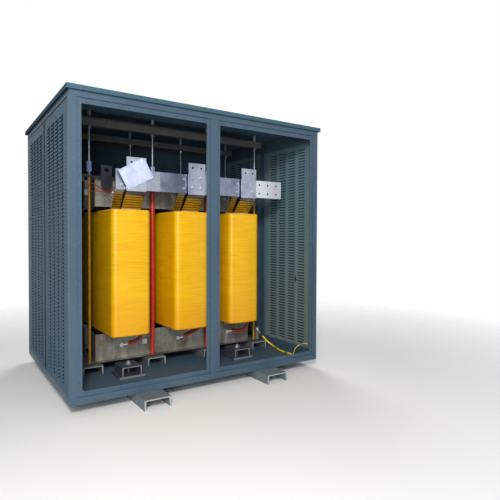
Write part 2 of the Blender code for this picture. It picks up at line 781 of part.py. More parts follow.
def make_tie_rods(parent, finish_red, finish_yellow):
    """Eight rods from the feet through both clamps and the beams up to the roof."""
    flange_top = UPPER_CLAMP_TOP
    flange_bottom = flange_top - CLAMP_PLATE
    roof = CEILING - GAP
    for end_name, side in (("front", -1), ("back", 1)):
        for number, x in enumerate(tie_places(), 1):
            r = tie_radius(x)
            nut = flange_top + GAP
            coupling = nut + NUT_HEIGHT + COUPLING_RISE
            collar = BEAM_BOTTOM - GAP
            hanger = roof - HANGER_LENGTH
            steps = [
                (r, FOOT_TOP + GAP, nut),
                (NUT_RADIUS + TIE_HOLE_PLAY, nut, nut + NUT_HEIGHT),
                (ROD_RADIUS, nut + NUT_HEIGHT, coupling),
                (COUPLING_RADIUS, coupling, coupling + COUPLING_LENGTH),
                (ROD_RADIUS, coupling + COUPLING_LENGTH, collar - NUT_HEIGHT),
                (NUT_RADIUS, collar - NUT_HEIGHT, collar),
                (ROD_RADIUS, collar, hanger),
                (HANGER_RADIUS, hanger, roof),
            ]
            profile = []
            for radius, low, high in steps:
                profile += [(radius, low), (radius, high)]
            finish = finish_red if r == TIE_RADIUS_MIDDLE else finish_yellow
            rod = add_piece(f"tie_rod_{end_name}_{number}", revolved(profile, ROD_SIDES),
                            finish, parent, (x, side * TIE_OFFSET, 0.0))
            rod.data.shade_smooth()
            rod.data.set_sharp_from_angle(angle=math.radians(40.0))


def make_beams(parent, finish):
    """Two open channels threaded on the rods under the roof."""
    half = BEAM_WIDTH / 2
    holes = [circle(ROD_RADIUS + TIE_HOLE_PLAY, HOLE_SIDES, x, 0.0) for x in tie_places()]
    for end_name, side in (("front", -1), ("back", 1)):
        web = plate(rectangle(-BEAM_HALF_LENGTH, -half, BEAM_HALF_LENGTH, half), holes,
                    BEAM_PLATE, lambda u, v, w: (u, v, BEAM_BOTTOM + w))
        walls = []
        for wall in (-1, 1):
            size = (2 * BEAM_HALF_LENGTH, BEAM_PLATE, BEAM_HEIGHT)
            centre = (0.0, wall * (half - BEAM_PLATE / 2), BEAM_BOTTOM + BEAM_HEIGHT / 2)
            walls.append(block(size, centre))
        add_piece(f"beam_{end_name}", combined(web, walls, "UNION"), finish, parent,
                  (0.0, side * TIE_OFFSET, 0.0))


def bent_bar(start, bend, offset, top, centre):
    """A flat bar that rises from a coil, leans forward and ends upright, open side behind."""
    path = [(-start, COIL_TOP + GAP), (-start, COIL_TOP + BAR_RISE), (-offset, bend),
            (-offset, top)]
    return prism(folded_outline(path, -BAR_THICKNESS), BAR_WIDTH,
                 along_x(centre - BAR_WIDTH / 2))


def hole_cutter(x, y, z):
    """A round cutter through an upright bar."""
    return prism(circle(HOLE_RADIUS, HOLE_SIDES, x, z), BAR_THICKNESS + 2 * OVERRUN,
                 along_y(y - OVERRUN))


def make_terminals(parent, finish):
    """Three bent bars that end in drilled upright terminals in front of the coils."""
    for number, leg in enumerate(leg_places(), 1):
        x = leg + TERMINAL_SHIFT
        bar = bent_bar(TERMINAL_START, TERMINAL_BEND, TERMINAL_OFFSET, TERMINAL_TOP, x)
        cutters = [
            hole_cutter(x + end * HOLE_PITCH / 2, -TERMINAL_OFFSET, TERMINAL_TOP - HOLE_MARGIN)
            for end in (-1, 1)
        ]
        add_piece(f"terminal_{number}", combined(bar, cutters, "DIFFERENCE"), finish, parent)


def make_star_bar(parent, finish):
    """The long level bar that joins one end of each coil, with its three bent risers."""
    left = leg_places()[0] + STAR_SHIFT - BAR_WIDTH / 2
    right = left + STAR_LENGTH
    middle = STAR_BOTTOM + BAR_WIDTH / 2
    holes = []
    for column in range(STAR_HOLE_COLUMNS):
        for row in (-1, 1):
            holes.append(circle(HOLE_RADIUS, HOLE_SIDES,
                                right - STAR_HOLE_MARGIN - column * STAR_HOLE_PITCH,
                                middle + row * HOLE_PITCH / 2))
    bar = plate(rectangle(left, STAR_BOTTOM, right, STAR_BOTTOM + BAR_WIDTH), holes,
                BAR_THICKNESS, lambda u, v, w: (u, w - STAR_OFFSET - BAR_THICKNESS + WELD, v))
    risers = [
        bent_bar(STAR_START, STAR_BOTTOM, STAR_OFFSET, STAR_BOTTOM + BAR_WIDTH - WELD,
                 leg + STAR_SHIFT + WELD)
        for leg in leg_places()
    ]
    add_piece("star_bar", combined(bar, risers, "UNION"), finish, parent)


def ring_lug(neck, tilt, place):
    """A flat ring terminal about its hole, its neck turned to the way the cable leaves."""
    join = math.asin(LUG_NECK_HALF_WIDTH / LUG_RING_RADIUS)
    ring = arc(0.0, 0.0, LUG_RING_RADIUS, math.degrees(join), 360.0 - math.degrees(join),
               2 * ARC_STEPS)
    outline = ring + [(neck, -LUG_NECK_HALF_WIDTH), (neck, LUG_NECK_HALF_WIDTH)]
    turned = [(u * math.cos(tilt) - v * math.sin(tilt), u * math.sin(tilt) + v * math.cos(tilt))
              for u, v in outline]
    return plate(turned, [circle(LUG_RING_HOLE, HOLE_SIDES)], LUG_RING_THICKNESS, place)


def smooth_route(points, spacing):
    """Points read at a spacing from a smooth curve through a route's own points."""
    route = [Vector(point) for point in points]
    smooth = []
    for i in range(len(route) - 1):
        a, b = route[i], route[i + 1]
        before = route[i - 1] if i else a * 2 - b
        after = route[i + 2] if i + 2 < len(route) else b * 2 - a
        steps = max(1, round((b - a).length / spacing))
        for k in range(steps):
            t = k / steps
            smooth.append((a * 2 + (b - before) * t
                           + (before * 2 - a * 5 + b * 4 - after) * t ** 2
                           + (a * 3 - before - b * 3 + after) * t ** 3) / 2)
    return smooth + [route[-1]]


def add_cable(name, points, radius, finish, parent):
    """A round cable along a smooth curve."""
    curve = bpy.data.curves.new(name, "CURVE")
    curve.dimensions = "3D"
    curve.bevel_depth = radius
    curve.bevel_resolution = TUBE_RESOLUTION
    curve.use_fill_caps = True
    smooth = smooth_route(points, CABLE_STEP_SHARE * 2 * radius)
    spline = curve.splines.new("POLY")
    spline.points.add(len(smooth) - 1)
    for point, place in zip(spline.points, smooth):
        point.co = (*place, 1.0)
    cable = bpy.data.objects.new(name, curve)
    curve.materials.append(finish)
    cable.parent = parent
    bpy.context.collection.objects.link(cable)


def make_leads(parent, finish, metal):
    """Three leads that hang from the coils' undersides."""
    for number, (leg, route) in enumerate(zip(leg_places(), LEAD_ROUTES), 1):
        u, level = route[0]
        points = [(leg + u, -LEAD_OFFSET, level), (leg + u + LEAD_RADIUS, -LEAD_OFFSET, level)]
        points += [(leg + u, -LEAD_OFFSET, level) for u, level in route[1:]]
        points += [(leg + LEAD_END, -LEAD_OFFSET, COIL_BOTTOM - GAP - below)
                   for below in (LEAD_RADIUS, 0.0)]
        add_cable(f"hv_lead_{number}", points, LEAD_RADIUS, finish, parent)
        x = leg + u - GAP - LUG_NECK_LENGTH
        lug = ring_lug(LUG_NECK_LENGTH, 0.0,
                       lambda u, v, w: (u, w - LUG_RING_THICKNESS / 2, v))
        add_piece(f"hv_lug_{number}", lug, metal, parent, (x, -LEAD_OFFSET, level))


def make_earth_cable(parent, finish, metal):
    """The earth lug on its tab and the cable from it down to the floor."""
    x = TAB_START + TAB_WIDTH / 2
    y = TAB_INSET - CLAMP_FRONT - CLAMP_FLANGE - GAP
    level = CLAMP_BASE + CLAMP_PLATE + TAB_HEIGHT - EARTH_LUG_DOWN
    lug = ring_lug(EARTH_NECK_LENGTH, EARTH_LUG_TILT,
                   lambda u, v, w: (u, w - LUG_RING_THICKNESS, v))
    add_piece("earth_lug", lug, metal, parent, (x, y, level))
    reach = EARTH_NECK_LENGTH + GAP
    across, up = math.cos(EARTH_LUG_TILT), math.sin(EARTH_LUG_TILT)
    middle = y - LUG_RING_THICKNESS / 2
    points = [(x + share * across, middle, level + share * up)
              for share in (reach, reach + EARTH_RADIUS)]
    rest = FLOOR_TOP + GAP + EARTH_RADIUS
    points += [(u, v, rest + rise) for u, v, rise in EARTH_ROUTE]
    add_cable("earth_cable", points, EARTH_RADIUS, finish, parent)


def make_anchor_blocks(parent, finish):
    """Two channel blocks on base plates with a bolt down to the skid."""
    y = -DEPTH / 2 + BLOCK_FROM_FRONT
    base = FLOOR_TOP + GAP
    seat = base + BLOCK_PLATE_THICKNESS - WELD
    top = seat + BLOCK_HEIGHT
    outline = channel_outline(BLOCK_WIDTH, BLOCK_HEIGHT, FOOT_WEB, FOOT_TIP, FOOT_ROOT)
    for name, side, shift in (
        ("anchor_block_left", -1, BLOCK_SHIFT_LEFT), ("anchor_block_right", 1, BLOCK_SHIFT_RIGHT),
    ):
        size = (BLOCK_PLATE_WIDTH, BLOCK_PLATE_DEPTH, BLOCK_PLATE_THICKNESS)
        foot = block(size, (0.0, 0.0, base + BLOCK_PLATE_THICKNESS / 2))
        rise = prism(outline, BLOCK_DEPTH, lambda u, v, w: (u, w - BLOCK_DEPTH / 2, seat + v))
        bolt = revolved([(BOLT_RADIUS, seat), (BOLT_RADIUS, top - WELD),
                         (BOLT_NUT_RADIUS, top - WELD), (BOLT_NUT_RADIUS, top + BOLT_NUT_HEIGHT),
                         (BOLT_RADIUS, top + BOLT_NUT_HEIGHT), (BOLT_RADIUS, top + BOLT_PROUD)], 6)
        x = ACTIVE_X + side * SKID_SPACING / 2 + shift
        add_piece(name, combined(foot, [rise, bolt], "UNION"), finish, parent, (x, y, 0.0))


def make_pouch(parent, finish):
    """A flat document pouch that leans on the first terminal."""
    mesh = block((POUCH_WIDTH, POUCH_THICKNESS, POUCH_HEIGHT))
    mesh.transform(Matrix.Rotation(-POUCH_TILT, 4, "Y"))
    x = leg_places()[0] + POUCH_SHIFT
    y = -TERMINAL_OFFSET - GAP - POUCH_THICKNESS / 2
    add_piece("document_pouch", mesh, finish, parent, (x, y, POUCH_UP))


def build():
    """Make the whole object in an empty scene."""
    for item in list(bpy.data.objects):
        bpy.data.objects.remove(item)
    painted = material("painted_sheet_steel", (0.095, 0.145, 0.185), 0.4, 0.0)
    channel = material("primed_channel_steel", (0.16, 0.15, 0.14), 0.55, 0.3)
    zinc = material("galvanised_plate", (0.20, 0.19, 0.175), 0.5, 0.7)
    lamination = material("varnished_core_steel", (0.02, 0.02, 0.022), 0.5, 0.4)
    resin = material("resin_glass_winding", (0.78, 0.42, 0.02), 0.4, 0.0)
    red = material("red_tube", (0.42, 0.03, 0.02), 0.45, 0.0)
    amber = material("varnished_glass_rod", (0.40, 0.18, 0.01), 0.4, 0.0)
    aluminium = material("aluminium_busbar", (0.62, 0.63, 0.70), 0.35, 1.0)
    yellow = material("yellow_cable_sheath", (0.75, 0.52, 0.01), 0.4, 0.0)
    paper = material("clear_pouch_with_paper", (0.72, 0.73, 0.80), 0.35, 0.0)

    ground = bpy.data.objects.new("ground", None)
    enclosure = bpy.data.objects.new("enclosure", None)
    active = bpy.data.objects.new("active_part", None)
    for empty in (ground, enclosure, active):
        bpy.context.collection.objects.link(empty)
    enclosure.parent = ground
    enclosure.location = (0.0, 0.0, SKID_HEIGHT + GAP)
    active.parent = enclosure
    active.location = (ACTIVE_X, ACTIVE_Y, 0.0)

    make_skids(ground, channel)
    make_frame(enclosure, painted)
    make_roof_and_floor(enclosure, painted)
    make_panels(enclosure, painted)
    make_anchor_blocks(enclosure, channel)
    make_feet(active, channel)
    make_clamps(active, zinc)
    make_core(active, lamination)
    make_coils(active, resin)
    make_tie_rods(active, red, amber)
    make_beams(active, channel)
    make_terminals(active, aluminium)
    make_star_bar(active, aluminium)
    make_pouch(active, paper)
    make_leads(active, red, aluminium)
    make_earth_cable(active, yellow, aluminium)


build()
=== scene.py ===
"""Looks for a dry-type power transformer in its louvred enclosure, front panels off.

Order of the file: sizes, camera, finishes, enclosure, active part, cables, pouch, studio.
Lengths are in metres in the part's own frame: +X right, +Y back, +Z up.
"""
import math
import random

import bmesh
import bpy
from mathutils import Matrix, Vector


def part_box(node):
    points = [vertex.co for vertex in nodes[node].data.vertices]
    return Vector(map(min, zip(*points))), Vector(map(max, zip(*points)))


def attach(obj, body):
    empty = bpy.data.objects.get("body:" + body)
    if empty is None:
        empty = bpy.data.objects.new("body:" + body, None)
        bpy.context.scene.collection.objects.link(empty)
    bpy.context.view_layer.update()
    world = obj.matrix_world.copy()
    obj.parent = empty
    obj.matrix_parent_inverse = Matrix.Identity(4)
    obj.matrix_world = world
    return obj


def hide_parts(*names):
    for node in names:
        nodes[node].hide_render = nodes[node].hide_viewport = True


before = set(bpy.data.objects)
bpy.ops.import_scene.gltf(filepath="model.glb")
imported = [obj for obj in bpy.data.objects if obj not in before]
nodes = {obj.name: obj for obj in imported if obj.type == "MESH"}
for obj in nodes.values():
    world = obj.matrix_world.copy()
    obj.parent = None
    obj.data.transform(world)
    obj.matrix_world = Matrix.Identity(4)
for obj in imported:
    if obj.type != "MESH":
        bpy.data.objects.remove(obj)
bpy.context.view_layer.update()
chance = random.Random(11)

MM = 0.001

# Camera: where it stands, its turn to the right, its tilt and its roll, and its lens
CAMERA_PLACE = (-1.815, -4.047, 1.217)
CAMERA_YAW = math.radians(34.08)
CAMERA_PITCH = math.radians(-1.23)
CAMERA_ROLL = math.radians(0.22)
CAMERA_LENS = 33.06
CAMERA_SENSOR = 36.0
CAMERA_SHIFT = -0.0064

# Enclosure: level of its underside on the skids, half its width and half its depth
DECK = 0.0753
HALF_WIDTH = 1.100
HALF_DEPTH = 0.850
# How far the open front's flanges stand back from its face
FLANGE_STEP = 0.008
FLOOR_TOP = DECK + 0.0453

# Panels and their pressed louvres
PANEL_DEPTH = 0.0077
PANEL_SHEET = 1.5 * MM
LOUVRE_LENGTH = 0.100
LOUVRE_PITCH = 0.027
LOUVRE_RISE = 0.013
LOUVRE_PROUD = 0.0075
LOUVRE_COUNT = 70
LOUVRE_TOP = 1.990
# A hood narrows at each end, bends at its shoulder and droops past its slot
HOOD_TAPER = 0.006
HOOD_SHOULDER = 0.30
HOOD_SHOULDER_PROUD = 0.62
HOOD_DROOP = 0.003
SIDE_COLUMNS = 4
SIDE_COLUMN_PITCH = 0.150
BACK_COLUMNS = 5
BACK_COLUMN_PITCH = 0.178
SCREW_INSET = 0.016
SCREW_ROWS = 9

# Active part: its middle, and its faces and pieces measured from there
ACTIVE_X = -0.015
ACTIVE_Y = 0.010
LEG_PITCH = 0.535
LEGS = [ACTIVE_X + (i - 1) * LEG_PITCH for i in range(3)]
CLAMP_FACE = 0.255
# Only the lifting lugs lie further out than this
LIFTING_LUG_BACK = 0.3149
STAR_FACE = 0.514
STAR_SHIFT = -0.048
TERMINAL_FACE = 0.540
TERMINAL_SHIFT = 0.030
# Half the spacing of the holes across a terminal
HOLE_SPREAD = 0.040
# The play between a piece and what it stands against
SEAT_PLAY = 0.3 * MM
LEAD_OFFSET = 0.400
LEAD_END = 0.122
LEAD_RADIUS = 0.009
EARTH_RADIUS = 0.008
EARTH_LUG_THICKNESS = 0.006
EARTH_LUG_X = ACTIVE_X + 0.825
EARTH_LUG_Y = ACTIVE_Y - 0.3113
EARTH_LUG_LEVEL = DECK + 0.2216
EARTH_LUG_TILT = math.radians(-54.0)

# Levels of the coils' foot, of the upper clamps' flanges and of the beams' underside
COIL_FOOT = DECK + 0.350
CLAMP_TOP = DECK + 1.625
CLAMP_PLATE = 0.008
BEAM_FOOT = DECK + 2.024
# Levels between which a slanting riser turns upright
BEND_LOW = DECK + 1.488
BEND_HIGH = DECK + 1.506

# Coils, in plan
COIL_HALF_WIDTH = 0.160
COIL_HALF_DEPTH = 0.522
COIL_CORNER = 0.045
COIL_SIDE_SWELL = 0.010
COIL_END_SWELL = 0.008
# Rounding of a coil's upper and lower edge as (inset, height)
COIL_EDGE = ((0.008, 0.0), (0.0045, 0.0012), (0.0015, 0.004), (0.0, 0.009))
COIL_TURNS = 78
# Half width, half depth and corner of the bore and of a cooling duct
COIL_BORE = (0.100, 0.2567, 0.015)
COIL_DUCT = (0.095, 0.011, 0.009)
DUCT_OFFSET = 0.335
SPACER_COUNT = 5
SPACER_PITCH = 0.038
SPACER_WIDTH = 0.006
SPACER_DEPTH = 0.0218

# Parts of the tie rods as (radius, height)
MIDDLE_TUBE_RADIUS = 0.018
END_TUBE_RADIUS = 0.010
ROD_RADIUS = 0.0085
ROD_STUD = (0.010, 0.034)
ROD_WASHER = (0.021, 0.003)
ROD_NUT = (0.0185, 0.015)
ROD_COUPLING = (0.0195, 0.085)
BEAM_LOCK_NUT = (0.020, 0.018)
BEAM_WASHER = (0.020, 0.003)
BEAM_NUT = (0.016, 0.013)
ROOF_SLEEVE = (0.014, 0.0637)
COUPLING_RISE = 0.035
WASHER_EDGE = 0.0008
NUT_EDGE = 0.002

POUCH_WIDTH = 0.225
POUCH_HEIGHT = 0.157
POUCH_TILT = math.radians(27.5)


def placed(name, data):
    """A new object in the scene."""
    item = bpy.data.objects.new(name, data)
    bpy.context.collection.objects.link(item)
    return item


# Camera

def place_camera():
    """A camera where the photograph was taken from, fitted to the enclosure's straight edges."""
    forward = Vector((math.sin(CAMERA_YAW) * math.cos(CAMERA_PITCH),
                      math.cos(CAMERA_YAW) * math.cos(CAMERA_PITCH), math.sin(CAMERA_PITCH)))
    right = Vector((math.cos(CAMERA_YAW), -math.sin(CAMERA_YAW), 0.0))
    up = right.cross(forward)
    turned_right = right * math.cos(CAMERA_ROLL) + up * math.sin(CAMERA_ROLL)
    turned_up = up * math.cos(CAMERA_ROLL) - right * math.sin(CAMERA_ROLL)
    data = bpy.data.cameras.new("camera")
    data.sensor_width = CAMERA_SENSOR
    data.lens = CAMERA_LENS
    data.shift_y = CAMERA_SHIFT
    camera = placed("camera", data)
    turn = Matrix((turned_right, turned_up, -forward)).transposed().to_4x4()
    camera.matrix_world = Matrix.Translation(CAMERA_PLACE) @ turn
    bpy.context.scene.camera = camera


# Tools shared by the finishes

def linear(code):
    """An sRGB hex colour as linear RGBA."""
    channels = [int(code[i:i + 2], 16) / 255.0 for i in (1, 3, 5)]
    return [c / 12.92 if c <= 0.04045 else ((c + 0.055) / 1.055) ** 2.4 for c in channels] + [1.0]


def add(tree, kind, links=None, **settings):
    """Add a node, set it up and link or fill its inputs; a hex code fills a colour."""
    item = tree.nodes.new("ShaderNode" + kind)
    for key, value in settings.items():
        setattr(item, key, value)
    for key, value in (links or {}).items():
        if isinstance(value, bpy.types.NodeSocket):
            tree.links.new(value, item.inputs[key])
        elif isinstance(value, str):
            item.inputs[key].default_value = linear(value)
        else:
            item.inputs[key].default_value = value
    return item


def new_finish(name, **sockets):
    """A material with its shader's own sockets set."""
    finish = bpy.data.materials.new(name)
    finish.use_nodes = True
    tree = finish.node_tree
    shader = tree.nodes["Principled BSDF"]
    for key, value in sockets.items():
        shader.inputs[key.replace("_", " ")].default_value = value
    place = add(tree, "TexCoord").outputs["Object"]
    return finish, tree, shader, place


def stretched(tree, place, x, y, z):
    """The place scaled so that one unit is the given number of metres each way."""
    return add(tree, "Mapping", {"Vector": place, "Scale": (1 / x, 1 / y, 1 / z)}).outputs[0]


def blend(tree, factor, first, second):
    """A colour between two, by a factor."""
    return add(tree, "Mix", {0: factor, 6: first, 7: second}, data_type="RGBA").outputs[2]


def spread(tree, value, low, high, to_low=0.0, to_high=1.0):
    """A value taken from one range to another and held at the ends."""
    ranges = {"Value": value, 1: low, 2: high, 3: to_low, 4: to_high}
    return add(tree, "MapRange", ranges).outputs[0]


def surfaced(tree, shader, colour, roughness):
    """Colour and roughness on a shader."""
    tree.links.new(colour, shader.inputs["Base Color"])
    tree.links.new(roughness, shader.inputs["Roughness"])


def bumped(tree, shader, height, distance, strength=1.0):
    """Relief of a real height on a shader."""
    relief = add(tree, "Bump", {"Height": height, "Distance": distance, "Strength": strength})
    tree.links.new(relief.outputs[0], shader.inputs["Normal"])


# Finishes

def powder_coated_steel(name, body, shade, sheen, painted_light=None, painted_shade=None):
    """Polyester powder coat on sheet: satin, blue-grey, with the coat's soft orange peel."""
    finish, tree, shader, place = new_finish(name, Specular_IOR_Level=sheen)
    haze = add(tree, "TexNoise", {"Vector": stretched(tree, place, 0.9, 0.9, 1.4), "Scale": 1.0,
                                  "Detail": 3.0}).outputs[0]
    cast = spread(tree, haze, 0.35, 0.65)
    # dust that settles in fine specks, 25 mm patches
    dust = add(tree, "TexNoise",
               {"Vector": place, "Scale": 1 / (25 * MM), "Detail": 4.0}).outputs[0]
    mixed = blend(tree, cast, body, shade)
    speckled = blend(tree, spread(tree, dust, 0.55, 0.85, 0.0, 0.22), mixed, "#6F8290")
    if painted_light:
        # the face turned into the enclosure is made paler as painted light
        normal = add(tree, "NewGeometry").outputs["True Normal"]
        across = add(tree, "SeparateXYZ", {0: normal}).outputs[0]
        inward = add(tree, "Math", {0: across, 1: -0.1}, operation="LESS_THAN").outputs[0]
        lit_inward_face = blend(tree, cast, painted_light[0], painted_light[1])
        speckled = blend(tree, inward, speckled, lit_inward_face)
    if painted_shade:
        # the pressed ends and the undersides of a side wall's louvres are darkened as painted
        # shade
        facing = add(tree, "SeparateXYZ", {0: add(tree, "NewGeometry").outputs["True Normal"]})
        along = add(tree, "Math", {0: facing.outputs[1]}, operation="ABSOLUTE").outputs[0]
        ends = add(tree, "Math", {0: along, 1: 0.3}, operation="GREATER_THAN").outputs[0]
        under = add(tree, "Math", {0: facing.outputs[2], 1: -0.2},
                    operation="LESS_THAN").outputs[0]
        shaded_faces = add(tree, "Math", {0: ends, 1: under}, operation="MAXIMUM").outputs[0]
        speckled = blend(tree, shaded_faces, speckled, painted_shade)
    surfaced(tree, shader, speckled, spread(tree, dust, 0.3, 0.8, 0.40, 0.52))
    # orange peel is 1 to 2 mm in the real coat, drawn at 7 mm so that it shows
    peel = add(tree, "TexNoise",
               {"Vector": place, "Scale": 1 / (7 * MM), "Detail": 1.0}).outputs[0]
    bumped(tree, shader, peel, 0.25 * MM, 0.5)
    return finish


def primed_rolled_steel(name, body, shade, rust, cut_end="#9AA3A6"):
    """Hot rolled channel under a thin grey primer: matt, mottled, its sawn ends paler."""
    finish, tree, shader, place = new_finish(name, Metallic=0.15)
    mottle = add(tree, "TexNoise", {"Vector": place, "Scale": 1 / (45 * MM), "Detail": 6.0,
                                    "Roughness": 0.65}).outputs[0]
    grain = add(tree, "TexNoise",
                {"Vector": place, "Scale": 1 / (6 * MM), "Detail": 4.0}).outputs[0]
    base = blend(tree, spread(tree, mottle, 0.35, 0.65), body, shade)
    worn = blend(tree, spread(tree, grain, 0.58, 0.75, 0.0, 0.6), base, rust)
    normal = add(tree, "NewGeometry").outputs["True Normal"]
    facing = add(tree, "SeparateXYZ", {0: normal}).outputs[1]
    ends = add(tree, "Math", {0: facing, 1: -0.99}, operation="LESS_THAN").outputs[0]
    surfaced(tree, shader, blend(tree, ends, worn, cut_end),
             spread(tree, mottle, 0.3, 0.7, 0.5, 0.72))
    bumped(tree, shader, grain, 0.3 * MM, 0.6)
    return finish


def galvanised_plate():
    """Dull zinc on plate: low grey-brown sheen, spangle and pale upright streaks of painted
    reflection.
    """
    finish, tree, shader, place = new_finish("galvanised_plate", Metallic=0.55)
    # spangle grains are 8 to 15 mm
    spangle = add(tree, "TexVoronoi", {"Vector": place, "Scale": 1 / (14 * MM)}).outputs["Color"]
    tone = add(tree, "SeparateColor", {0: spangle}).outputs[0]
    cloud = add(tree, "TexNoise",
                {"Vector": place, "Scale": 1 / (160 * MM), "Detail": 5.0}).outputs[0]
    base = blend(tree, tone, "#8E8C84", "#7C7A74")
    # pale upright streaks are painted reflection
    reflection_streaks = add(tree, "TexNoise", {"Vector": stretched(tree, place, 0.05, 0.05, 0.6),
                                   "Scale": 1.0, "Detail": 3.0}).outputs[0]
    with_painted_streaks = blend(tree, spread(tree, reflection_streaks, 0.52, 0.70, 0.0, 0.7), base, "#BDB9AE")
    stained = blend(tree, spread(tree, cloud, 0.45, 0.68, 0.0, 0.75), with_painted_streaks, "#5E574C")
    # the lifting lugs stand proud of the flange and are coloured near black as painted shade
    depth = add(tree, "SeparateXYZ", {0: place}).outputs[1]
    off = add(tree, "Math", {0: depth, 1: ACTIVE_Y}, operation="SUBTRACT").outputs[0]
    proud = add(tree, "Math", {0: off}, operation="ABSOLUTE").outputs[0]
    lug = add(tree, "Math", {0: proud, 1: LIFTING_LUG_BACK}, operation="GREATER_THAN").outputs[0]
    surfaced(tree, shader, blend(tree, lug, stained, "#20262C"),
             spread(tree, cloud, 0.3, 0.7, 0.38, 0.55))
    bumped(tree, shader, cloud, 0.6 * MM, 0.3)
    return finish


def varnished_core_steel():
    """Edges of stacked core sheets under black varnish: near black with fine level lines."""
    finish, tree, shader, place = new_finish("varnished_core_steel")
    # sheets are 0.3 mm thick, drawn at 4 mm so that the lines show
    lines = add(tree, "TexWave", {"Vector": place, "Scale": 1 / (4 * MM) / 20, "Distortion": 0.6},
                bands_direction="Y").outputs["Fac"]
    base = blend(tree, lines, "#17181A", "#232427")
    surfaced(tree, shader, base, spread(tree, lines, 0.0, 1.0, 0.42, 0.55))
    bumped(tree, shader, lines, 0.2 * MM, 0.5)
    return finish


def resin_glass_winding():
    """Roving wound in resin and cured: glossy golden yellow with level bands of glass."""
    finish, tree, shader, place = new_finish("resin_glass_winding", IOR=1.53,
                                             Specular_IOR_Level=0.38)
    # tows lie level, 12 mm wide, and run on round the coil
    tows = add(tree, "TexNoise", {"Vector": stretched(tree, place, 0.5, 0.5, 11 * MM),
                                  "Scale": 1.0, "Detail": 3.0, "Roughness": 0.6}).outputs[0]
    strands = add(tree, "TexNoise", {"Vector": stretched(tree, place, 0.16, 0.16, 3.2 * MM),
                                     "Scale": 1.0, "Detail": 2.0}).outputs[0]
    pools = add(tree, "TexNoise", {"Vector": stretched(tree, place, 0.35, 0.35, 0.22),
                                   "Scale": 1.0, "Detail": 2.0}).outputs[0]
    base = blend(tree, spread(tree, tows, 0.33, 0.67), "#E3AE03", "#D89F02")
    thick = blend(tree, spread(tree, pools, 0.4, 0.7, 0.0, 0.45), base, "#EABB0C")
    lined = blend(tree, spread(tree, strands, 0.52, 0.68, 0.0, 0.6), thick, "#C58802")
    # dry glass shows as a few pale threads
    threads = spread(tree, strands, 0.28, 0.38, 0.45, 0.0)
    threaded = blend(tree, threads, lined, "#F0CC35")
    # the resin is deeper orange towards the foot
    level = add(tree, "SeparateXYZ", {0: place}).outputs[2]
    foot = spread(tree, level, COIL_FOOT + 0.01, COIL_FOOT + 0.31, 0.5, 0.0)
    surfaced(tree, shader, blend(tree, foot, threaded, "#D68A02"),
             spread(tree, strands, 0.3, 0.7, 0.26, 0.42))
    bumped(tree, shader, add(tree, "Math", {0: tows, 1: strands}, operation="ADD").outputs[0],
           0.9 * MM, 0.55)
    return finish


def rolled_aluminium(name, pale, dull, riser_reflection):
    """Bare rolled bar: bent risers bright as rolled with a painted golden reflection of the coils,
    upright flats clouded by handling.
    """
    finish, tree, shader, place = new_finish(name)
    marks = add(tree, "TexNoise", {"Vector": stretched(tree, place, 0.35, 4 * MM, 4 * MM),
                                   "Scale": 1.0, "Detail": 4.0}).outputs[0]
    smudge = add(tree, "TexNoise",
                 {"Vector": place, "Scale": 1 / (70 * MM), "Detail": 4.0}).outputs[0]
    clouded = blend(tree, spread(tree, smudge, 0.35, 0.7), pale, dull)
    level = add(tree, "SeparateXYZ", {0: place}).outputs[2]
    flat = spread(tree, level, BEND_LOW, BEND_HIGH)
    # left of its lap the long bar is paler, and its far end is paler and less metallic
    across = add(tree, "SeparateXYZ", {0: place}).outputs[0]
    clouded = blend(tree, spread(tree, across, -0.312, -0.310, 0.45, 0.0), clouded, "#B9C2CC")
    far_end = spread(tree, across, 0.640, 0.642)
    with_pale_end = blend(tree, far_end, clouded, "#D3D8E0")
    tree.links.new(spread(tree, far_end, 0.0, 1.0, 1.0, 0.3), shader.inputs["Metallic"])
    # tows of the coil, 19 mm apart, are painted on the risers as their reflection
    mirrored_tows = add(tree, "TexWave", {"Vector": place, "Scale": math.tau / (20 * 19 * MM),
                                "Distortion": 2.0, "Detail": 2.0, "Detail Scale": 1.5},
              bands_direction="Z").outputs["Fac"]
    riser = blend(tree, spread(tree, mirrored_tows, 0.5, 0.95, 0.0, 0.8), riser_reflection, "#5A5036")
    base = blend(tree, flat, riser, with_pale_end)
    hazy = spread(tree, marks, 0.3, 0.7, 0.0, 0.08)
    haze = spread(tree, flat, 0.0, 1.0, 0.16, 0.30)
    surfaced(tree, shader, base, add(tree, "Math", {0: hazy, 1: haze}).outputs[0])
    bumped(tree, shader, marks, 0.15 * MM, 0.5)
    return finish


def zinc_plated_steel(name, pale, dull):
    """Zinc on bolts and rods: pale metal with a faint dull film."""
    finish, tree, shader, place = new_finish(name, Metallic=0.9)
    film = add(tree, "TexNoise",
               {"Vector": place, "Scale": 1 / (18 * MM), "Detail": 3.0}).outputs[0]
    base = blend(tree, film, pale, dull)
    surfaced(tree, shader, base, spread(tree, film, 0.3, 0.7, 0.34, 0.48))
    return finish


def insulating_tube(name, body, shade):
    """Laminated insulating tube: coloured, half-gloss, with faint turns of the wrap."""
    finish, tree, shader, place = new_finish(name, IOR=1.45)
    wrap = add(tree, "TexNoise", {"Vector": stretched(tree, place, 0.06, 0.06, 18 * MM),
                                  "Scale": 1.0, "Detail": 3.0}).outputs[0]
    base = blend(tree, spread(tree, wrap, 0.35, 0.65), body, shade)
    surfaced(tree, shader, base, spread(tree, wrap, 0.3, 0.7, 0.34, 0.48))
    bumped(tree, shader, wrap, 0.2 * MM, 0.4)
    return finish


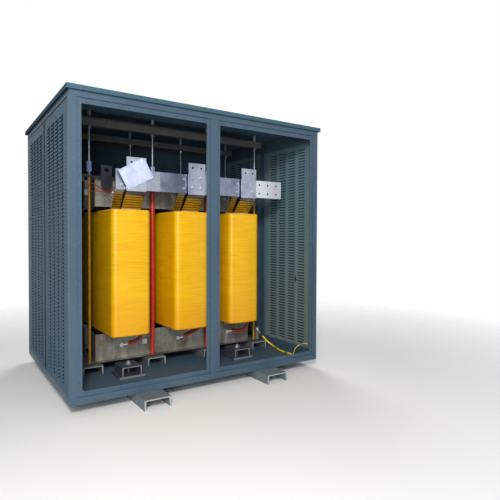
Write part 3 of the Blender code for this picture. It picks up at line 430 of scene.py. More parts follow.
def moulded_plastic(name, body, shade, roughness, sheen=0.5):
    """Moulded plastic or rubber: even colour, fine tooled grain."""
    finish, tree, shader, place = new_finish(name, Specular_IOR_Level=sheen)
    grain = add(tree, "TexNoise",
                {"Vector": place, "Scale": 1 / (5 * MM), "Detail": 3.0}).outputs[0]
    base = blend(tree, spread(tree, grain, 0.35, 0.65), body, shade)
    surfaced(tree, shader, base, spread(tree, grain, 0.3, 0.7, roughness, roughness + 0.12))
    bumped(tree, shader, grain, 0.1 * MM, 0.4)
    return finish


def sleeved_paper():
    """Folded paper inside a clear sleeve: white, soft creases under a glossy film."""
    finish, tree, shader, place = new_finish("sleeved_paper", Roughness=0.5, IOR=1.45,
                                             Coat_Weight=0.3, Coat_Roughness=0.15)
    crease = add(tree, "TexNoise", {"Vector": place, "Scale": 1 / (60 * MM), "Detail": 5.0,
                                    "Distortion": 0.8}).outputs[0]
    base = blend(tree, spread(tree, crease, 0.3, 0.7), "#C8D1EA", "#A9B4D6")
    tree.links.new(base, shader.inputs["Base Color"])
    bumped(tree, shader, crease, 9 * MM, 0.8)
    return finish


def earth_cable_sheath():
    """Two-colour sheath: yellow with a green stripe that winds along the cable."""
    finish, tree, shader, place = new_finish("earth_cable_sheath", Roughness=0.42)
    along = add(tree, "TexWave", {"Vector": place, "Scale": 1 / (60 * MM) / 6, "Distortion": 0.4},
                bands_direction="DIAGONAL").outputs["Fac"]
    base = blend(tree, spread(tree, along, 0.86, 0.93), "#E6C50B", "#6E9427")
    tree.links.new(base, shader.inputs["Base Color"])
    return finish


# Tools shared by the pieces

def settle(name, bm, finish, stands_for=(), sharp=30.0, outward=True):
    """Put a mesh in the scene as one piece of the object, its faces turned outward."""
    if outward:
        bmesh.ops.recalc_face_normals(bm, faces=bm.faces)
    mesh = bpy.data.meshes.new(name)
    bm.to_mesh(mesh)
    bm.free()
    mesh.materials.append(finish)
    mesh.shade_smooth()
    mesh.set_sharp_from_angle(angle=math.radians(sharp))
    piece = placed(name, mesh)
    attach(piece, "root")
    if stands_for:
        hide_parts(*stands_for)
    return piece


def join_rings(bm, rings):
    """Faces between rings of vertices that follow each other."""
    for near, far in zip(rings, rings[1:]):
        for i in range(len(near)):
            j = (i + 1) % len(near)
            bm.faces.new((near[i], near[j], far[j], far[i]))


def turn_to(axis):
    """The turn that takes +Z to an axis."""
    return Vector((0.0, 0.0, 1.0)).rotation_difference(Vector(axis)).to_matrix().to_4x4()


def add_drum(bm, foot, axis, radius, height, sides=20, edge=0.0, spin=0.0):
    """A round or hexagonal drum from a foot point along an axis, its far edge bevelled."""
    turn = Matrix.Translation(foot) @ turn_to(axis) @ Matrix.Rotation(spin, 4, "Z")
    profile = [(radius, 0.0), (radius, height - edge)]
    if edge:
        profile.append((radius - edge, height))
    loops = [[bm.verts.new(turn @ Vector((r * math.cos(math.tau * i / sides),
                                          r * math.sin(math.tau * i / sides), z)))
              for i in range(sides)] for r, z in profile]
    join_rings(bm, loops)
    bm.faces.new(loops[0][::-1])
    bm.faces.new(loops[-1])


def add_bolt(bm, seat, axis, thread, stub=0.0):
    """A hexagon head on its washer, and the thread's end past a nut where it stands out."""
    axis = Vector(axis)
    seat = Vector(seat)
    washer = 0.22 * thread
    head = 0.65 * thread
    add_drum(bm, seat, axis, 1.05 * thread, washer, 20, washer * 0.3)
    add_drum(bm, seat + axis * washer, axis, 0.92 * thread, head, 6, head * 0.16,
             chance.random() * math.pi)
    if stub:
        add_drum(bm, seat + axis * (washer + head), axis, 0.48 * thread, stub, 14, thread * 0.1)


def add_block(bm, centre, size):
    """A box from its centre and its sizes."""
    block = bmesh.ops.create_cube(bm, size=1.0)["verts"]
    bmesh.ops.scale(bm, vec=size, verts=block)
    bmesh.ops.translate(bm, vec=centre, verts=block)


def eased_block(centre, size, ease):
    """A box whose edges are rounded."""
    bm = bmesh.new()
    add_block(bm, centre, size)
    bmesh.ops.bevel(bm, geom=bm.edges[:], offset=ease, segments=2, profile=0.6, affect="EDGES")
    return bm


def spaced(start, end, count):
    """Evenly spaced values from start to end."""
    return [start + (end - start) * i / (count - 1) for i in range(count)]


# Enclosure

def louvred_panel(node, wall, columns, pitch, finish):
    """A wall panel: a sheet with a returned edge and pressed hoods that open downward."""
    low, high = (Vector(c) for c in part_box(node))
    if wall == "back":
        start, end = low.x, high.x
        depth = high.y - low.y

        def place(u, v, w):
            return (u, high.y + w, v)
    else:
        side = -1 if wall == "left" else 1
        start, end = low.y, high.y
        depth = PANEL_DEPTH

        def place(u, v, w):
            return (side * (HALF_WIDTH + w), u, v)
    middle = (start + end) / 2
    half = LOUVRE_LENGTH / 2
    us = [start]
    slots = set()
    for i in range(columns):
        centre = middle + (i - (columns - 1) / 2) * pitch
        slots.add(len(us))
        us += [centre - half, centre + half]
    us.append(end)
    vs = [low.z]
    hoods = set()
    for i in reversed(range(LOUVRE_COUNT)):
        top = DECK + LOUVRE_TOP - i * LOUVRE_PITCH
        hoods.add(len(vs))
        vs += [top - LOUVRE_RISE, top]
    vs.append(high.z)
    bm = bmesh.new()
    grid = [[bm.verts.new(place(u, v, 0.0)) for v in vs] for u in us]
    for i in range(len(us) - 1):
        for j in range(len(vs) - 1):
            corners = (grid[i][j], grid[i + 1][j], grid[i + 1][j + 1], grid[i][j + 1])
            if i in slots and j in hoods:
                add_hood(bm, corners, place, us[i:i + 2], vs[j:j + 2])
            else:
                bm.faces.new(corners)
    rim = [bm.verts.new(place(u, v, -depth)) for u, v in
           ((start, low.z), (end, low.z), (end, high.z), (start, high.z))]
    chains = [
        [column[0] for column in grid], grid[-1],
        [column[-1] for column in grid][::-1], grid[0][::-1],
    ]
    for k, chain in enumerate(chains):
        bm.faces.new(chain + [rim[(k + 1) % 4], rim[k]])
    bmesh.ops.recalc_face_normals(bm, faces=bm.faces)
    outward = Vector(place(0, 0, 1)) - Vector(place(0, 0, 0))
    front = max(bm.faces, key=lambda f: abs(f.normal.dot(outward)) * f.calc_area())
    if front.normal.dot(outward) < 0:
        bmesh.ops.reverse_faces(bm, faces=bm.faces)
    piece = settle("louvred_" + node, bm, finish, [node], 25.0,
                   outward=False)
    sheet = piece.modifiers.new("sheet", "SOLIDIFY")
    sheet.thickness = PANEL_SHEET
    sheet.offset = -1.0


def add_hood(bm, corners, place, across, rise):
    """One pressed louvre: joined to the sheet at its top and ends, open below."""
    low_left, low_right, top_right, top_left = corners
    (left, right), (foot, top) = across, rise
    shoulder = top - (top - foot) * HOOD_SHOULDER
    inset = HOOD_TAPER * 0.6
    mid = [bm.verts.new(place(u, shoulder, LOUVRE_PROUD * HOOD_SHOULDER_PROUD))
           for u in (left + inset, right - inset)]
    lip = [bm.verts.new(place(u, foot - HOOD_DROOP, LOUVRE_PROUD))
           for u in (left + HOOD_TAPER, right - HOOD_TAPER)]
    bm.faces.new((mid[0], mid[1], top_right, top_left))
    bm.faces.new((lip[0], lip[1], mid[1], mid[0]))
    bm.faces.new((low_left, lip[0], mid[0], top_left))
    bm.faces.new((low_right, top_right, mid[1], lip[1]))


def dress_panels(coats, plated):
    """The six panels and the screws round their edges."""
    bm = bmesh.new()
    for side, sign in (("left", -1), ("right", 1)):
        for end in ("front", "back"):
            node = f"panel_{side}_{end}"
            louvred_panel(node, side, SIDE_COLUMNS, SIDE_COLUMN_PITCH, coats[side])
            low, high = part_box(node)
            screws_round(bm, (low[1], high[1]), (low[2], high[2]), SIDE_COLUMNS,
                         lambda u, v: (sign * HALF_WIDTH, u, v), (sign, 0, 0))
    for side in ("left", "right"):
        node = f"panel_back_{side}"
        louvred_panel(node, "back", BACK_COLUMNS, BACK_COLUMN_PITCH, coats["back"])
        low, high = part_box(node)
        screws_round(bm, (low[0], high[0]), (low[2], high[2]), BACK_COLUMNS,
                     lambda u, v: (u, HALF_DEPTH, v), (0, 1, 0))
    settle("panel_screws", bm, plated)


def screws_round(bm, across, rise, columns, place, axis):
    """Screws along the four edges of a panel."""
    left, right = across[0] + SCREW_INSET, across[1] - SCREW_INSET
    foot, top = rise[0] + SCREW_INSET, rise[1] - SCREW_INSET
    for v in spaced(foot, top, SCREW_ROWS):
        for u in (left, right):
            add_screw(bm, place(u, v), axis)
    for u in spaced(left, right, columns)[1:-1]:
        for v in (foot, top):
            add_screw(bm, place(u, v), axis)


def seam_shade_strips(seam_shade):
    """Dark strips in the joints of the side walls, above the panels and between them, painted
    shade of the seams' gaps.
    """
    bm = bmesh.new()
    half_width = 0.005
    lap, rise = 0.001, 0.006
    for side, sign in (("left", -1), ("right", 1)):
        front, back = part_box(f"panel_{side}_front"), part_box(f"panel_{side}_back")
        top, foot = front[1][2], front[0][2]
        middle = (front[1][1] + back[0][1]) / 2
        for y0, y1, z0, z1, proud in (
            (front[0][1], back[1][1], top - lap, top + rise, 0.002),
            (middle - half_width, middle + half_width, foot, top, 0.004),
        ):
            add_block(bm, (sign * HALF_WIDTH, (y0 + y1) / 2, (z0 + z1) / 2),
                      (2 * proud, y1 - y0, z1 - z0))
    settle("seam_shade_strips", bm, seam_shade)


def add_screw(bm, seat, axis):
    """A low button-headed screw."""
    add_drum(bm, seat, axis, 7.5 * MM, 3.5 * MM, 12, 2.0 * MM)


def dress_screw_holes(finish):
    """Clip nuts behind the screw holes of the open front's flanges."""
    bm = bmesh.new()
    radius, height = 3.8 * MM, 1.2 * MM
    face = -HALF_DEPTH + FLANGE_STEP
    # the level flanges lie one sheet's thickness behind the upright ones
    behind = 3.3 * MM
    inset = 0.017
    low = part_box("base_frame")[1][2]
    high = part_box("top_frame")[0][2]
    columns = spaced(-0.985, -0.085, 5) + spaced(0.085, 0.985, 5)
    for level in (high + inset, low - inset):
        for x in columns:
            add_drum(bm, (x, face + behind, level), (0, -1, 0), radius, height, 12)
    for x in (-1.034, -0.045, 0.045, 1.034):
        for z in spaced(low + 0.06, high - 0.02, SCREW_ROWS):
            add_drum(bm, (x, face, z), (0, -1, 0), radius, height, 12)
    settle("flange_clip_nuts", bm, finish)


def roof_seam(finish):
    """The hemmed lower edge of the roof tray."""
    low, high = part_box("roof")
    bm = bmesh.new()
    thickness, height = 2.2 * MM, 6 * MM
    proud, drop = 0.8 * MM, 1 * MM
    profile = [(0.0, 0.0), (0.0, height), (thickness, height), (thickness, 0.0)]
    loops = []
    for sx, sy in ((-1, -1), (1, -1), (1, 1), (-1, 1)):
        x, y = (high[0] if sx > 0 else low[0]), (high[1] if sy > 0 else low[1])
        loops.append([bm.verts.new((x - sx * (d - proud), y - sy * (d - proud),
                                    low[2] - drop + h)) for d, h in profile])
    join_rings(bm, loops + loops[:1])
    settle("roof_hem", bm, finish)


# Active part

def coil_plan(inset):
    """Plan of a coil: rounded corners and sides that swell from the winding's tension."""
    points = []
    cu, cv = COIL_HALF_WIDTH - COIL_CORNER, COIL_HALF_DEPTH - COIL_CORNER
    radius = COIL_CORNER - inset
    signs = ((1, 1), (-1, 1), (-1, -1), (1, -1))

    def on_corner(k, degrees):
        angle = math.radians(degrees)
        return (signs[k][0] * cu + radius * math.cos(angle),
                signs[k][1] * cv + radius * math.sin(angle))

    for k in range(4):
        begin = k * 90.0
        points += [on_corner(k, begin + 90.0 * i / 8) for i in range(9)]
        a = Vector(points[-1])
        b = Vector(on_corner((k + 1) % 4, begin + 90.0))
        outward = Vector((math.cos(math.radians(begin + 90.0)),
                          math.sin(math.radians(begin + 90.0))))
        swell, steps = (COIL_END_SWELL, 12) if k % 2 == 0 else (COIL_SIDE_SWELL, 24)
        for i in range(1, steps):
            share = i / steps
            points.append(tuple(a.lerp(b, share) + outward * swell * math.sin(math.pi * share)))
    return points


def wound_coil(number, finish, spacer_finish):
    """A coil as wound: level tows that stand slightly proud, rounded ends, ducts with spacers."""
    node = f"coil_{number}"
    low, high = (Vector(c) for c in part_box(node))
    x, y = (low.x + high.x) / 2, (low.y + high.y) / 2
    bm = bmesh.new()
    edge = COIL_EDGE[-1][1]
    levels = [(inset, low.z + rise) for inset, rise in COIL_EDGE]
    for i in range(1, COIL_TURNS):
        z = low.z + edge + (high.z - low.z - 2 * edge) * i / COIL_TURNS
        levels.append((chance.uniform(-0.2 * MM, 0.8 * MM), z))
    levels += [(inset, high.z - rise) for inset, rise in reversed(COIL_EDGE)]
    rings = [[bm.verts.new((x + u, y + v, z)) for u, v in coil_plan(inset)] for inset, z in levels]
    join_rings(bm, rings)
    loops = [rounded_loop(*COIL_BORE)]
    for side in (-1, 1):
        loops.append([(u, side * DUCT_OFFSET + v) for u, v in rounded_loop(*COIL_DUCT)])
    holes = []
    for loop in loops:
        holes.append([[bm.verts.new((x + u, y + v, z)) for u, v in loop] for z in (low.z, high.z)])
        join_rings(bm, holes[-1])
    for end, outer in ((0, rings[0]), (1, rings[-1])):
        edges = []
        for ring in [outer] + [pair[end] for pair in holes]:
            for i, vert in enumerate(ring):
                edges.append(bm.edges.get((vert, ring[(i + 1) % len(ring)])))
        bmesh.ops.triangle_fill(bm, use_beauty=True, edges=edges)
    settle(f"wound_coil_{number}", bm, finish, [node], 40.0)
    bm = bmesh.new()
    for side in (-1, 1):
        for i in range(SPACER_COUNT):
            u = (i - (SPACER_COUNT - 1) / 2) * SPACER_PITCH
            add_block(bm, (x + u, y + side * DUCT_OFFSET, (low.z + high.z) / 2),
                      (SPACER_WIDTH, SPACER_DEPTH, high.z - low.z - 0.012))
    settle(f"duct_spacers_{number}", bm, spacer_finish)


def rounded_loop(half_u, half_v, corner):
    """A rectangle with rounded corners as (u, v) points."""
    points = []
    for su, sv, begin in ((1, 1, 0.0), (-1, 1, 90.0), (-1, -1, 180.0), (1, -1, 270.0)):
        for i in range(5):
            angle = math.radians(begin + 22.5 * i)
            points.append((su * (half_u - corner) + corner * math.cos(angle),
                           sv * (half_v - corner) + corner * math.sin(angle)))
    return points


def tie_rod(end_name, number, finishes):
    """A tie rod: tube between the clamps, nut, threaded rod, coupling and the hanger above."""
    node = f"tie_rod_{end_name}_{number}"
    low, high = (Vector(c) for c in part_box(node))
    x, y = (low.x + high.x) / 2, (low.y + high.y) / 2

    def drum(bm, foot, radius, height, sides, edge=0.0, spin=0.0):
        add_drum(bm, (x, y, foot), (0, 0, 1), radius, height, sides, edge, spin)

    tube = bmesh.new()
    middle = number in (2, 3)
    under = CLAMP_TOP - CLAMP_PLATE
    drum(tube, low.z, MIDDLE_TUBE_RADIUS if middle else END_TUBE_RADIUS, under - low.z, 28)
    settle(f"{node}_tube", tube, finishes["red" if middle else "amber"],
           [node])
    metal = bmesh.new()
    seat = CLAMP_TOP + SEAT_PLAY
    nut_foot = seat + ROD_WASHER[1]
    rod_foot = CLAMP_TOP + 0.018
    drum(metal, under, *ROD_STUD, 16)
    drum(metal, seat, *ROD_WASHER, 24, WASHER_EDGE)
    drum(metal, nut_foot, *ROD_NUT, 6, NUT_EDGE, chance.random())
    drum(metal, rod_foot, ROD_RADIUS, high.z - rod_foot - 0.060, 16)
    coupling = bmesh.new()
    drum(coupling, CLAMP_TOP + COUPLING_RISE, *ROD_COUPLING, 6, 0.003, chance.random())
    settle(f"{node}_coupling", coupling, finishes["coupling"])
    drum(metal, BEAM_FOOT - 0.0183, *BEAM_LOCK_NUT, 6, NUT_EDGE, chance.random())
    drum(metal, BEAM_FOOT + 0.005, *BEAM_WASHER, 24, WASHER_EDGE)
    drum(metal, BEAM_FOOT + 0.008, *BEAM_NUT, 6, NUT_EDGE, chance.random())
    settle(f"{node}_metal", metal, finishes["rod"])
    sleeve = bmesh.new()
    drum(sleeve, high.z - 0.064, *ROOF_SLEEVE, 24, 0.002)
    settle(f"{node}_sleeve", sleeve, finishes["grey"])


def bar_bolts(finish):
    """Bolt heads where the long bar meets its risers and where the terminals are clamped."""
    bm = bmesh.new()
    thread = 0.012
    for leg in LEGS:
        for dx in (-0.0325, 0.0325):
            for rise in (1.628, 1.550):
                add_bolt(bm, (leg + STAR_SHIFT + dx, ACTIVE_Y - STAR_FACE, DECK + rise),
                         (0, -1, 0), thread)
    # the pouch hangs where the first terminal would show its bolts
    for leg in LEGS[1:]:
        for dx in (-HOLE_SPREAD, HOLE_SPREAD):
            for rise in (1.643, 1.562):
                add_bolt(bm, (leg + TERMINAL_SHIFT + dx, ACTIVE_Y - TERMINAL_FACE, DECK + rise),
                         (0, -1, 0), thread)
    settle("bar_bolts", bm, finish)


def hole_shade_rims(finish):
    """Dark rims inside the open bolt holes of the bars, painted shade seen through the holes."""
    bm = bmesh.new()
    # the rim laps the face outside the hole and lines the hole's wall
    lap, wall, bore = 9.2 * MM, 6.4 * MM, 5.8 * MM
    proud, depth = 0.4 * MM, 9.5 * MM
    sides = 16
    holes = [(x, -STAR_FACE - 0.5 * MM, rise) for x in (0.685, 0.783, 0.881)
             for rise in (1.550, 1.630)]
    holes += [(leg + TERMINAL_SHIFT + dx, -TERMINAL_FACE, 1.726) for leg in LEGS
              for dx in (-HOLE_SPREAD, HOLE_SPREAD)]
    for x, front, rise in holes:
        rings = []
        for y, radius in ((-proud, lap), (0.0, lap), (0.0, wall), (depth, wall), (depth, bore),
                          (-proud, bore)):
            rings.append([bm.verts.new((x + radius * math.cos(math.tau * i / sides),
                                        ACTIVE_Y + front + y,
                                        DECK + rise + radius * math.sin(math.tau * i / sides)))
                          for i in range(sides)])
        join_rings(bm, rings + rings[:1])
    settle("painted_hole_shade_rims", bm, finish)


def clamp_fittings(finishes):
    """Bolts through the clamps into the core, and the small square fitting on the web."""
    bm = bmesh.new()
    for side in (-1, 1):
        for leg in LEGS:
            for dx in (-0.060, 0.060):
                add_bolt(bm, (leg + dx, ACTIVE_Y + side * CLAMP_FACE, DECK + 1.505),
                         (0, side, 0), 0.016, 0.012)
    settle("clamp_bolts", bm, finishes["zinc"])
    width, thickness = 0.043, 0.012
    fitting = eased_block((-0.3485, ACTIVE_Y - CLAMP_FACE - thickness / 2, DECK + 0.234),
                          (width, thickness, width), 0.004)
    settle("clamp_square_fitting", fitting, finishes["white"])


def beam_fittings(bright, dark):
    """Bolt heads on the front beam and the dark wiring loom that lies along its top."""
    low, high = (Vector(c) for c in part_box("beam_front"))
    bm = bmesh.new()
    for x in (-0.702, -0.661, 0.493):
        add_bolt(bm, (x, low.y + 0.012, high.z - 0.0004), (0, 0, 1), 0.012, 0.006)
    settle("beam_bolts", bm, bright)
    # the loom sways a little from point to point
    y = (low.y + high.y) / 2 - 0.028
    loom = [(-0.90 + 0.1 * i, y + 0.004 * (i % 2), high.z + 0.010) for i in range(15)]
    cable("beam_wiring_loom", loom, 0.0085, dark)


def panel_latch(finish):
    """The small latch on the inside of the right wall."""
    bm = bmesh.new()
    y = -0.561
    add_drum(bm, (1.092, y, 0.799), (-1, 0, 0), 0.010, 0.008, 20, 0.001)
    add_block(bm, (1.0835, y, 0.812), (0.003, 0.012, 0.045))
    settle("panel_latch", bm, finish)


def anchor_bolts(finish):
    """Bright studs and nuts on the two anchor blocks."""
    bm = bmesh.new()
    washer, nut, stud = 0.003, 0.0125, 0.0107
    for side in ("left", "right"):
        low, high = (Vector(c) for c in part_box(f"anchor_block_{side}"))
        x, y = (low.x + high.x) / 2, (low.y + high.y) / 2
        z = high.z - 0.026
        for radius, height, sides, edge, spin in (
            (0.021, washer, 24, WASHER_EDGE, 0.0),
            (0.0178, nut, 6, NUT_EDGE, 0.4),
            (0.0105, stud, 18, 0.0015, 0.0),
        ):
            add_drum(bm, (x, y, z), (0, 0, 1), radius, height, sides, edge, spin)
            z += height
    settle("anchor_bolts", bm, finish)


# Cables

def smooth_route(points, spacing):
    """Points read at a spacing from a smooth curve through a route's own points."""
    route = [Vector(point) for point in points]
    smooth = []
    for i in range(len(route) - 1):
        a, b = route[i], route[i + 1]
        before = route[i - 1] if i else a * 2 - b
        after = route[i + 2] if i + 2 < len(route) else b * 2 - a
        steps = max(1, round((b - a).length / spacing))
        for k in range(steps):
            t = k / steps
            smooth.append((a * 2 + (b - before) * t
                           + (before * 2 - a * 5 + b * 4 - after) * t ** 2
                           + (a * 3 - before - b * 3 + after) * t ** 3) / 2)
    return smooth + [route[-1]]


def cable(name, points, radius, finish, node=None):
    """A round cable along a smooth curve; gives the piece and its points."""
    smooth = smooth_route(points, 0.8 * radius)
    curve = bpy.data.curves.new(name, "CURVE")
    curve.dimensions = "3D"
    curve.bevel_depth = radius
    curve.bevel_resolution = 5
    curve.use_fill_caps = True
    curve.materials.append(finish)
    spline = curve.splines.new("POLY")
    spline.use_smooth = True
    spline.points.add(len(smooth) - 1)
    for point, place in zip(spline.points, smooth):
        point.co = (*place, 1.0)
    piece = placed(name, curve)
    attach(piece, "root")
    if node:
        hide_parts(node)
    return piece, smooth


def hanging_leads(sheath, tinned, dark):
    """The leads under the coils, each with a crimped ring lug on its free end."""
    # places beside the leg and levels above the deck, from the lug on
    routes = (
        ((-0.014, 0.261), (0.020, 0.262), (0.065, 0.268), (0.104, 0.288), (0.120, 0.316)),
        ((-0.053, 0.259), (-0.020, 0.262), (0.035, 0.284), (0.088, 0.300), (0.119, 0.320)),
        ((-0.083, 0.258), (-0.040, 0.255), (0.040, 0.247), (0.095, 0.266), (0.119, 0.308)),
    )
    radius = LEAD_RADIUS
    y = ACTIVE_Y - LEAD_OFFSET
    under = COIL_FOOT - SEAT_PLAY
    beside_lead = Vector((-0.004, 0.0, 0.0175))
    for number, (leg, route) in enumerate(zip(LEGS, routes), 1):
        start_x, start_z = leg + route[0][0], DECK + route[0][1]
        points = [(start_x, y, start_z), (start_x + radius, y, start_z)]
        points += [(leg + u, y, DECK + v) for u, v in route[1:]]
        points += [(leg + LEAD_END, y, under - below) for below in (radius, 0.0)]
        points.reverse()
        lead, smooth = cable(f"hanging_lead_{number}", points, radius, sheath,
                             f"hv_lead_{number}")
        beside = [point + beside_lead for point in smooth[len(smooth) // 5:-4]]
        strand, _ = cable(f"second_strand_{number}", beside, radius, dark)
        barrel = bmesh.new()
        add_drum(barrel, (start_x - 0.018, y, start_z), (1, 0, 0), 0.0102, 0.034, 24, 0.0015)
        crimp = settle(f"lug_barrel_{number}", barrel, tinned)


def earth_cable(sheath, tinned, black):
    """The earth cable from its lug on the clamp down to the floor, with its sleeve."""
    radius = EARTH_RADIUS
    across, up = math.cos(EARTH_LUG_TILT), math.sin(EARTH_LUG_TILT)
    middle = EARTH_LUG_Y - EARTH_LUG_THICKNESS / 2
    lug = Vector((EARTH_LUG_X, middle, EARTH_LUG_LEVEL))
    way = Vector((across, 0.0, up))
    # the cable leaves straight out of the lug's neck
    points = [(EARTH_LUG_X + share * across, middle, EARTH_LUG_LEVEL + share * up)
              for share in (0.0453, 0.0533)]
    # places from the active part's middle, and heights above the cable's rest on the floor
    route = (
        (0.875, -0.326, 0.102), (0.915, -0.352, 0.048), (0.945, -0.400, 0.010),
        (0.930, -0.490, 0.001), (0.903, -0.590, 0.0), (0.900, -0.700, 0.0), (0.905, -0.812, 0.0),
    )
    points += [(ACTIVE_X + u, ACTIVE_Y + v, FLOOR_TOP + radius + rise) for u, v, rise in route]
    line, smooth = cable("yellow_earth_cable", points, radius, sheath,
                         "earth_cable")
    metal = bmesh.new()
    add_drum(metal, lug + way * 0.016, way, 0.0088, 0.032, 24, 0.0015)
    add_bolt(metal, (EARTH_LUG_X, EARTH_LUG_Y - EARTH_LUG_THICKNESS, EARTH_LUG_LEVEL),
             (0, -1, 0), 0.010, 0.004)
    crimp = settle("earth_lug_barrel", metal, tinned)
    boot, _ = cable("earth_lug_sleeve", smooth[1:8], 0.0098, black)
    thin = [(0.885, -0.775, 0.135), (0.886, -0.800, 0.190), (0.905, -0.822, 0.222),
            (0.950, -0.829, 0.236), (0.985, -0.832, 0.233), (1.004, -0.8385, 0.226)]
    cable("bonding_wire", thin, 0.0028, sheath)
    corner = [(-1.024, -0.830, 0.190), (-1.016, -0.829, 0.165), (-0.998, -0.828, 0.150)]
    cable("corner_bonding_wire", corner, 0.0040, sheath)


def sensor_wires(red, grey):
    """Thin winding sensor wires from the small box at the clamp to the first coil's bars."""
    # places from the enclosure's left side and levels above the deck
    routes = (
        (3.5 * MM, ((0.262, 1.545), (0.300, 1.563), (0.384, 1.509), (0.451, 1.454),
                    (0.520, 1.434))),
        (3.0 * MM, ((0.255, 1.500), (0.320, 1.502), (0.384, 1.506), (0.422, 1.513),
                    (0.480, 1.548))),
    )
    for number, (radius, route) in enumerate(routes, 1):
        points = [(u - HALF_WIDTH, -0.310, DECK + v) for u, v in route]
        cable(f"sensor_wire_{number}", points, radius, red)
    box = eased_block((0.245 - HALF_WIDTH, -0.314, DECK + 1.489), (0.030, 0.018, 0.044), 0.003)
    settle("sensor_box", box, grey)


# Pouch

def document_pouch(finish):
    """Folded sheets in a clear sleeve, hung slantwise on the first terminal."""
    low, high = (Vector(c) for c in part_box("document_pouch"))
    centre = (low + high) / 2
    turn = Matrix.Translation(centre) @ Matrix.Rotation(-POUCH_TILT, 4, "Y")
    bm = bmesh.new()
    columns, rows = 24, 18
    front, back = [], []
    for i in range(columns + 1):
        front.append([])
        back.append([])
        for j in range(rows + 1):
            across, up = i / columns, j / rows
            u = (across - 0.5) * POUCH_WIDTH
            v = (up - 0.5) * POUCH_HEIGHT
            # the sheets are thinner at their edges, ripple a little and keep one level fold
            edge = min(i, columns - i, j, rows - j) / 3.0
            fat = (0.9 + 2.1 * min(1.0, edge)) * MM
            ripple = 1.2 * MM * math.sin(7.0 * across + 2.0) * math.sin(5.0 * up + 1.0)
            fold = 1.0 * MM * math.exp(-((up - 0.52) / 0.03) ** 2)
            front[i].append(bm.verts.new(turn @ Vector((u, -fat - ripple + fold, v))))
            back[i].append(bm.verts.new(turn @ Vector((u, 2.6 * MM, v))))
    rims = []
    for sheet in (front, back):
        for near, far in zip(sheet, sheet[1:]):
            for j in range(rows):
                bm.faces.new((near[j], far[j], far[j + 1], near[j + 1]))
        foot, top = [column[0] for column in sheet], [column[-1] for column in sheet]
        rims.append(foot + sheet[-1][1:-1] + top[::-1] + sheet[0][-2:0:-1])
    join_rings(bm, rims)
    settle("sleeved_sheets", bm, finish, ["document_pouch"], 60.0)
    # a second sheet slips out behind the first at its top and left
    bm = bmesh.new()
    behind = Matrix.Translation(centre) @ Matrix.Rotation(-POUCH_TILT - 0.03, 4, "Y")
    add_block(bm, (-0.012, 0.0014, 0.010), (POUCH_WIDTH, 0.0010, POUCH_HEIGHT + 0.006))
    bmesh.ops.transform(bm, matrix=behind, verts=bm.verts)
    settle("second_sheet", bm, finish)


# Studio

def studio():
    """Pale floor, white surroundings for the camera and soft lamps at a plain level."""
    floor_mesh = bpy.data.meshes.new("studio_floor")
    reach = 30.0
    floor_mesh.from_pydata([(-reach, -reach, 0), (reach, -reach, 0), (reach, reach, 0),
                            (-reach, reach, 0)], [], [(0, 1, 2, 3)])
    floor = placed("studio_floor", floor_mesh)
    paint, tree, shader, place = new_finish("pale_floor", Roughness=0.8)
    shader.inputs["Base Color"].default_value = linear("#F1F1EF")
    # away from the object the floor runs out into the white background
    away = add(tree, "VectorMath", {0: place}, operation="LENGTH").outputs["Value"]
    gone = spread(tree, away, 2.2, 5.0)
    clear = add(tree, "BsdfTransparent")
    faded = add(tree, "MixShader", {0: gone, 1: shader.outputs[0], 2: clear.outputs[0]})
    tree.links.new(faded.outputs[0], tree.nodes["Material Output"].inputs["Surface"])
    floor_mesh.materials.append(paint)

    world = bpy.data.worlds.new("studio_world")
    bpy.context.scene.world = world
    world.use_nodes = True
    tree = world.node_tree
    light = tree.nodes["Background"]
    light.inputs["Color"].default_value = (0.93, 0.96, 1.0, 1.0)
    light.inputs["Strength"].default_value = 0.28
    seen = add(tree, "Background", {"Color": (1.0, 1.0, 1.0, 1.0), "Strength": 1.0})
    rays = add(tree, "LightPath")
    some = add(tree, "Math", {0: rays.outputs["Is Camera Ray"], 1: rays.outputs["Is Glossy Ray"]},
               operation="MAXIMUM")
    both = add(tree, "Math", {0: some.outputs[0], 1: rays.outputs["Is Transmission Ray"]},
               operation="MAXIMUM")
    mixed = add(tree, "MixShader", {0: both.outputs[0], 1: light.outputs[0], 2: seen.outputs[0]})
    tree.links.new(mixed.outputs[0], tree.nodes["World Output"].inputs["Surface"])

    for name, spot, aim, size, power, tint in (
        ("key", (-2.5, -5.0, 3.4), (0.0, -0.2, 1.0), 1.0, 232.0, (1.0, 0.98, 0.95)),
        ("fill", (-3.3, -5.4, 1.5), (0.5, -0.3, 0.9), 2.4, 130.0, (0.97, 0.98, 1.0)),
        ("back", (2.5, 4.5, 4.0), (0.0, 0.3, 1.2), 3.0, 170.0, (1.0, 1.0, 1.0)),
    ):
        data = bpy.data.lights.new(name, "AREA")
        data.size = size
        data.energy = power
        data.color = tint
        lamp = placed(name, data)
        lamp.location = spot
        lamp.rotation_euler = (Vector(aim) - Vector(spot)).to_track_quat("-Z", "Y").to_euler()


def coat(starts, finish):
    """Give a finish to the nodes, by how their names start, whose solid is shown as it is."""
    for name, node in nodes.items():
        if name.startswith(starts):
            node.data.materials.clear()
            node.data.materials.append(finish)


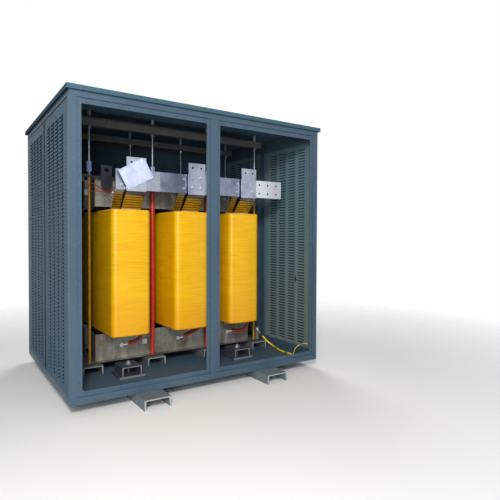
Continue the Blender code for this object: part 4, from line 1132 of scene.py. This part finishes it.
def main():
    bpy.context.scene.view_settings.view_transform = "Standard"
    place_camera()
    tinned = zinc_plated_steel("tinned_copper", "#D6D9DD", "#B4B8BE")
    lead_red = moulded_plastic("red_silicone_sheath", "#991F17", "#781711", 0.45)
    lead_dark = moulded_plastic("dark_red_sheath", "#4E120E", "#380E0B", 0.5)
    black = moulded_plastic("black_rubber", "#1B1C1E", "#26272A", 0.5)
    # the dark strips in the wall seams are painted shade
    seam_shade_finish = moulded_plastic("painted_seam_shade", "#1B1F22", "#262A2D", 0.8, 0.05)
    frame_coat = powder_coated_steel("powder_coated_steel", "#475B6A", "#3E5161", 0.16)
    # the roof's tealer tone than the frame's is painted reflection on the same coat
    tinted_roof_coat = powder_coated_steel("roof_painted_reflection_coat", "#466270", "#3E5967", 0.0)
    panel_coats = {
        # the left wall's louvre ends and hood undersides are darkened as painted shade
        "left": powder_coated_steel("panel_coat_painted_shade", "#465C6E", "#3C5163", 0.03,
                                    painted_shade="#0C1217"),
        # the right wall's inward face is paler as painted light, its louvre ends and hood
        # undersides darker as painted shade
        "right": powder_coated_steel("panel_coat_painted_light_and_shade", "#42586A", "#384D5F", 0.03,
                                     ("#5C7681", "#677672"), "#3A4B54"),
        "back": powder_coated_steel("powder_coated_panel", "#42586A", "#384D5F", 0.03),
    }
    finishes = {
        "zinc": zinc_plated_steel("zinc_plated_steel", "#C3C6CA", "#9DA1A6"),
        "rod": zinc_plated_steel("dull_zinc_rod", "#879097", "#687078"),
        # the couplings' blue-grey coat is made paler than its own colour as painted light against
        # the post's shadow
        "coupling": powder_coated_steel("coupling_coat_with_painted_light", "#8C9BBE", "#7A8AAE", 0.3),
        "red": insulating_tube("red_insulating_tube", "#BC2C13", "#A0210D"),
        "amber": insulating_tube("varnished_glass_rod", "#B98714", "#9C6E0D"),
        "grey": moulded_plastic("grey_moulded_sleeve", "#8E9698", "#767E80", 0.5),
        "white": moulded_plastic("white_moulded_plastic", "#DCDCDC", "#C8C8CA", 0.4),
    }

    coat(("hv_lug_", "earth_lug"), tinned)
    coat(("base_frame", "top_frame", "post_", "mullion_", "stud_", "floor_plate"), frame_coat)
    coat("roof", tinted_roof_coat)
    coat("skid_", primed_rolled_steel("primed_rolled_channel", "#6C7A80", "#59666D", "#5A544B"))
    coat("foot_channel_",
         primed_rolled_steel("rolled_foot_channel", "#6D6F70", "#585A5C", "#574C42", "#858B8E"))
    coat("anchor_block_",
         primed_rolled_steel("painted_anchor_channel", "#3B404B", "#2F333D", "#2A2C30",
                             "#70757A"))
    coat("beam_",
         primed_rolled_steel("painted_beam_channel", "#4F5250", "#3F4140", "#2E2B29",
                             "#4F5250"))
    coat(("lower_clamp_", "upper_clamp_"), galvanised_plate())
    coat("core", varnished_core_steel())
    # one aluminium in two copies: the star bar's darker tone is painted shade, the terminals'
    # paler tone painted light
    coat("star_bar", rolled_aluminium("rolled_aluminium", "#8C93A8", "#6F768A", "#A3A080"))
    coat("terminal_", rolled_aluminium("rolled_aluminium_lit_copy", "#AEB3C6", "#9398AC", "#CFC9B6"))

    hanging_leads(lead_red, tinned, lead_dark)
    earth_cable(earth_cable_sheath(), tinned, black)
    dress_panels(panel_coats, frame_coat)
    dress_screw_holes(black)
    seam_shade_strips(seam_shade_finish)
    roof_seam(tinted_roof_coat)
    resin = resin_glass_winding()
    for number in (1, 2, 3):
        wound_coil(number, resin, finishes["amber"])
    for end_name in ("front", "back"):
        for number in (1, 2, 3, 4):
            tie_rod(end_name, number, finishes)
    sensor_wires(lead_red, finishes["grey"])
    bar_bolts(finishes["zinc"])
    hole_shade_rims(black)
    clamp_fittings(finishes)
    anchor_bolts(finishes["zinc"])
    beam_fittings(finishes["zinc"], black)
    panel_latch(black)
    document_pouch(sleeved_paper())
    studio()


main()
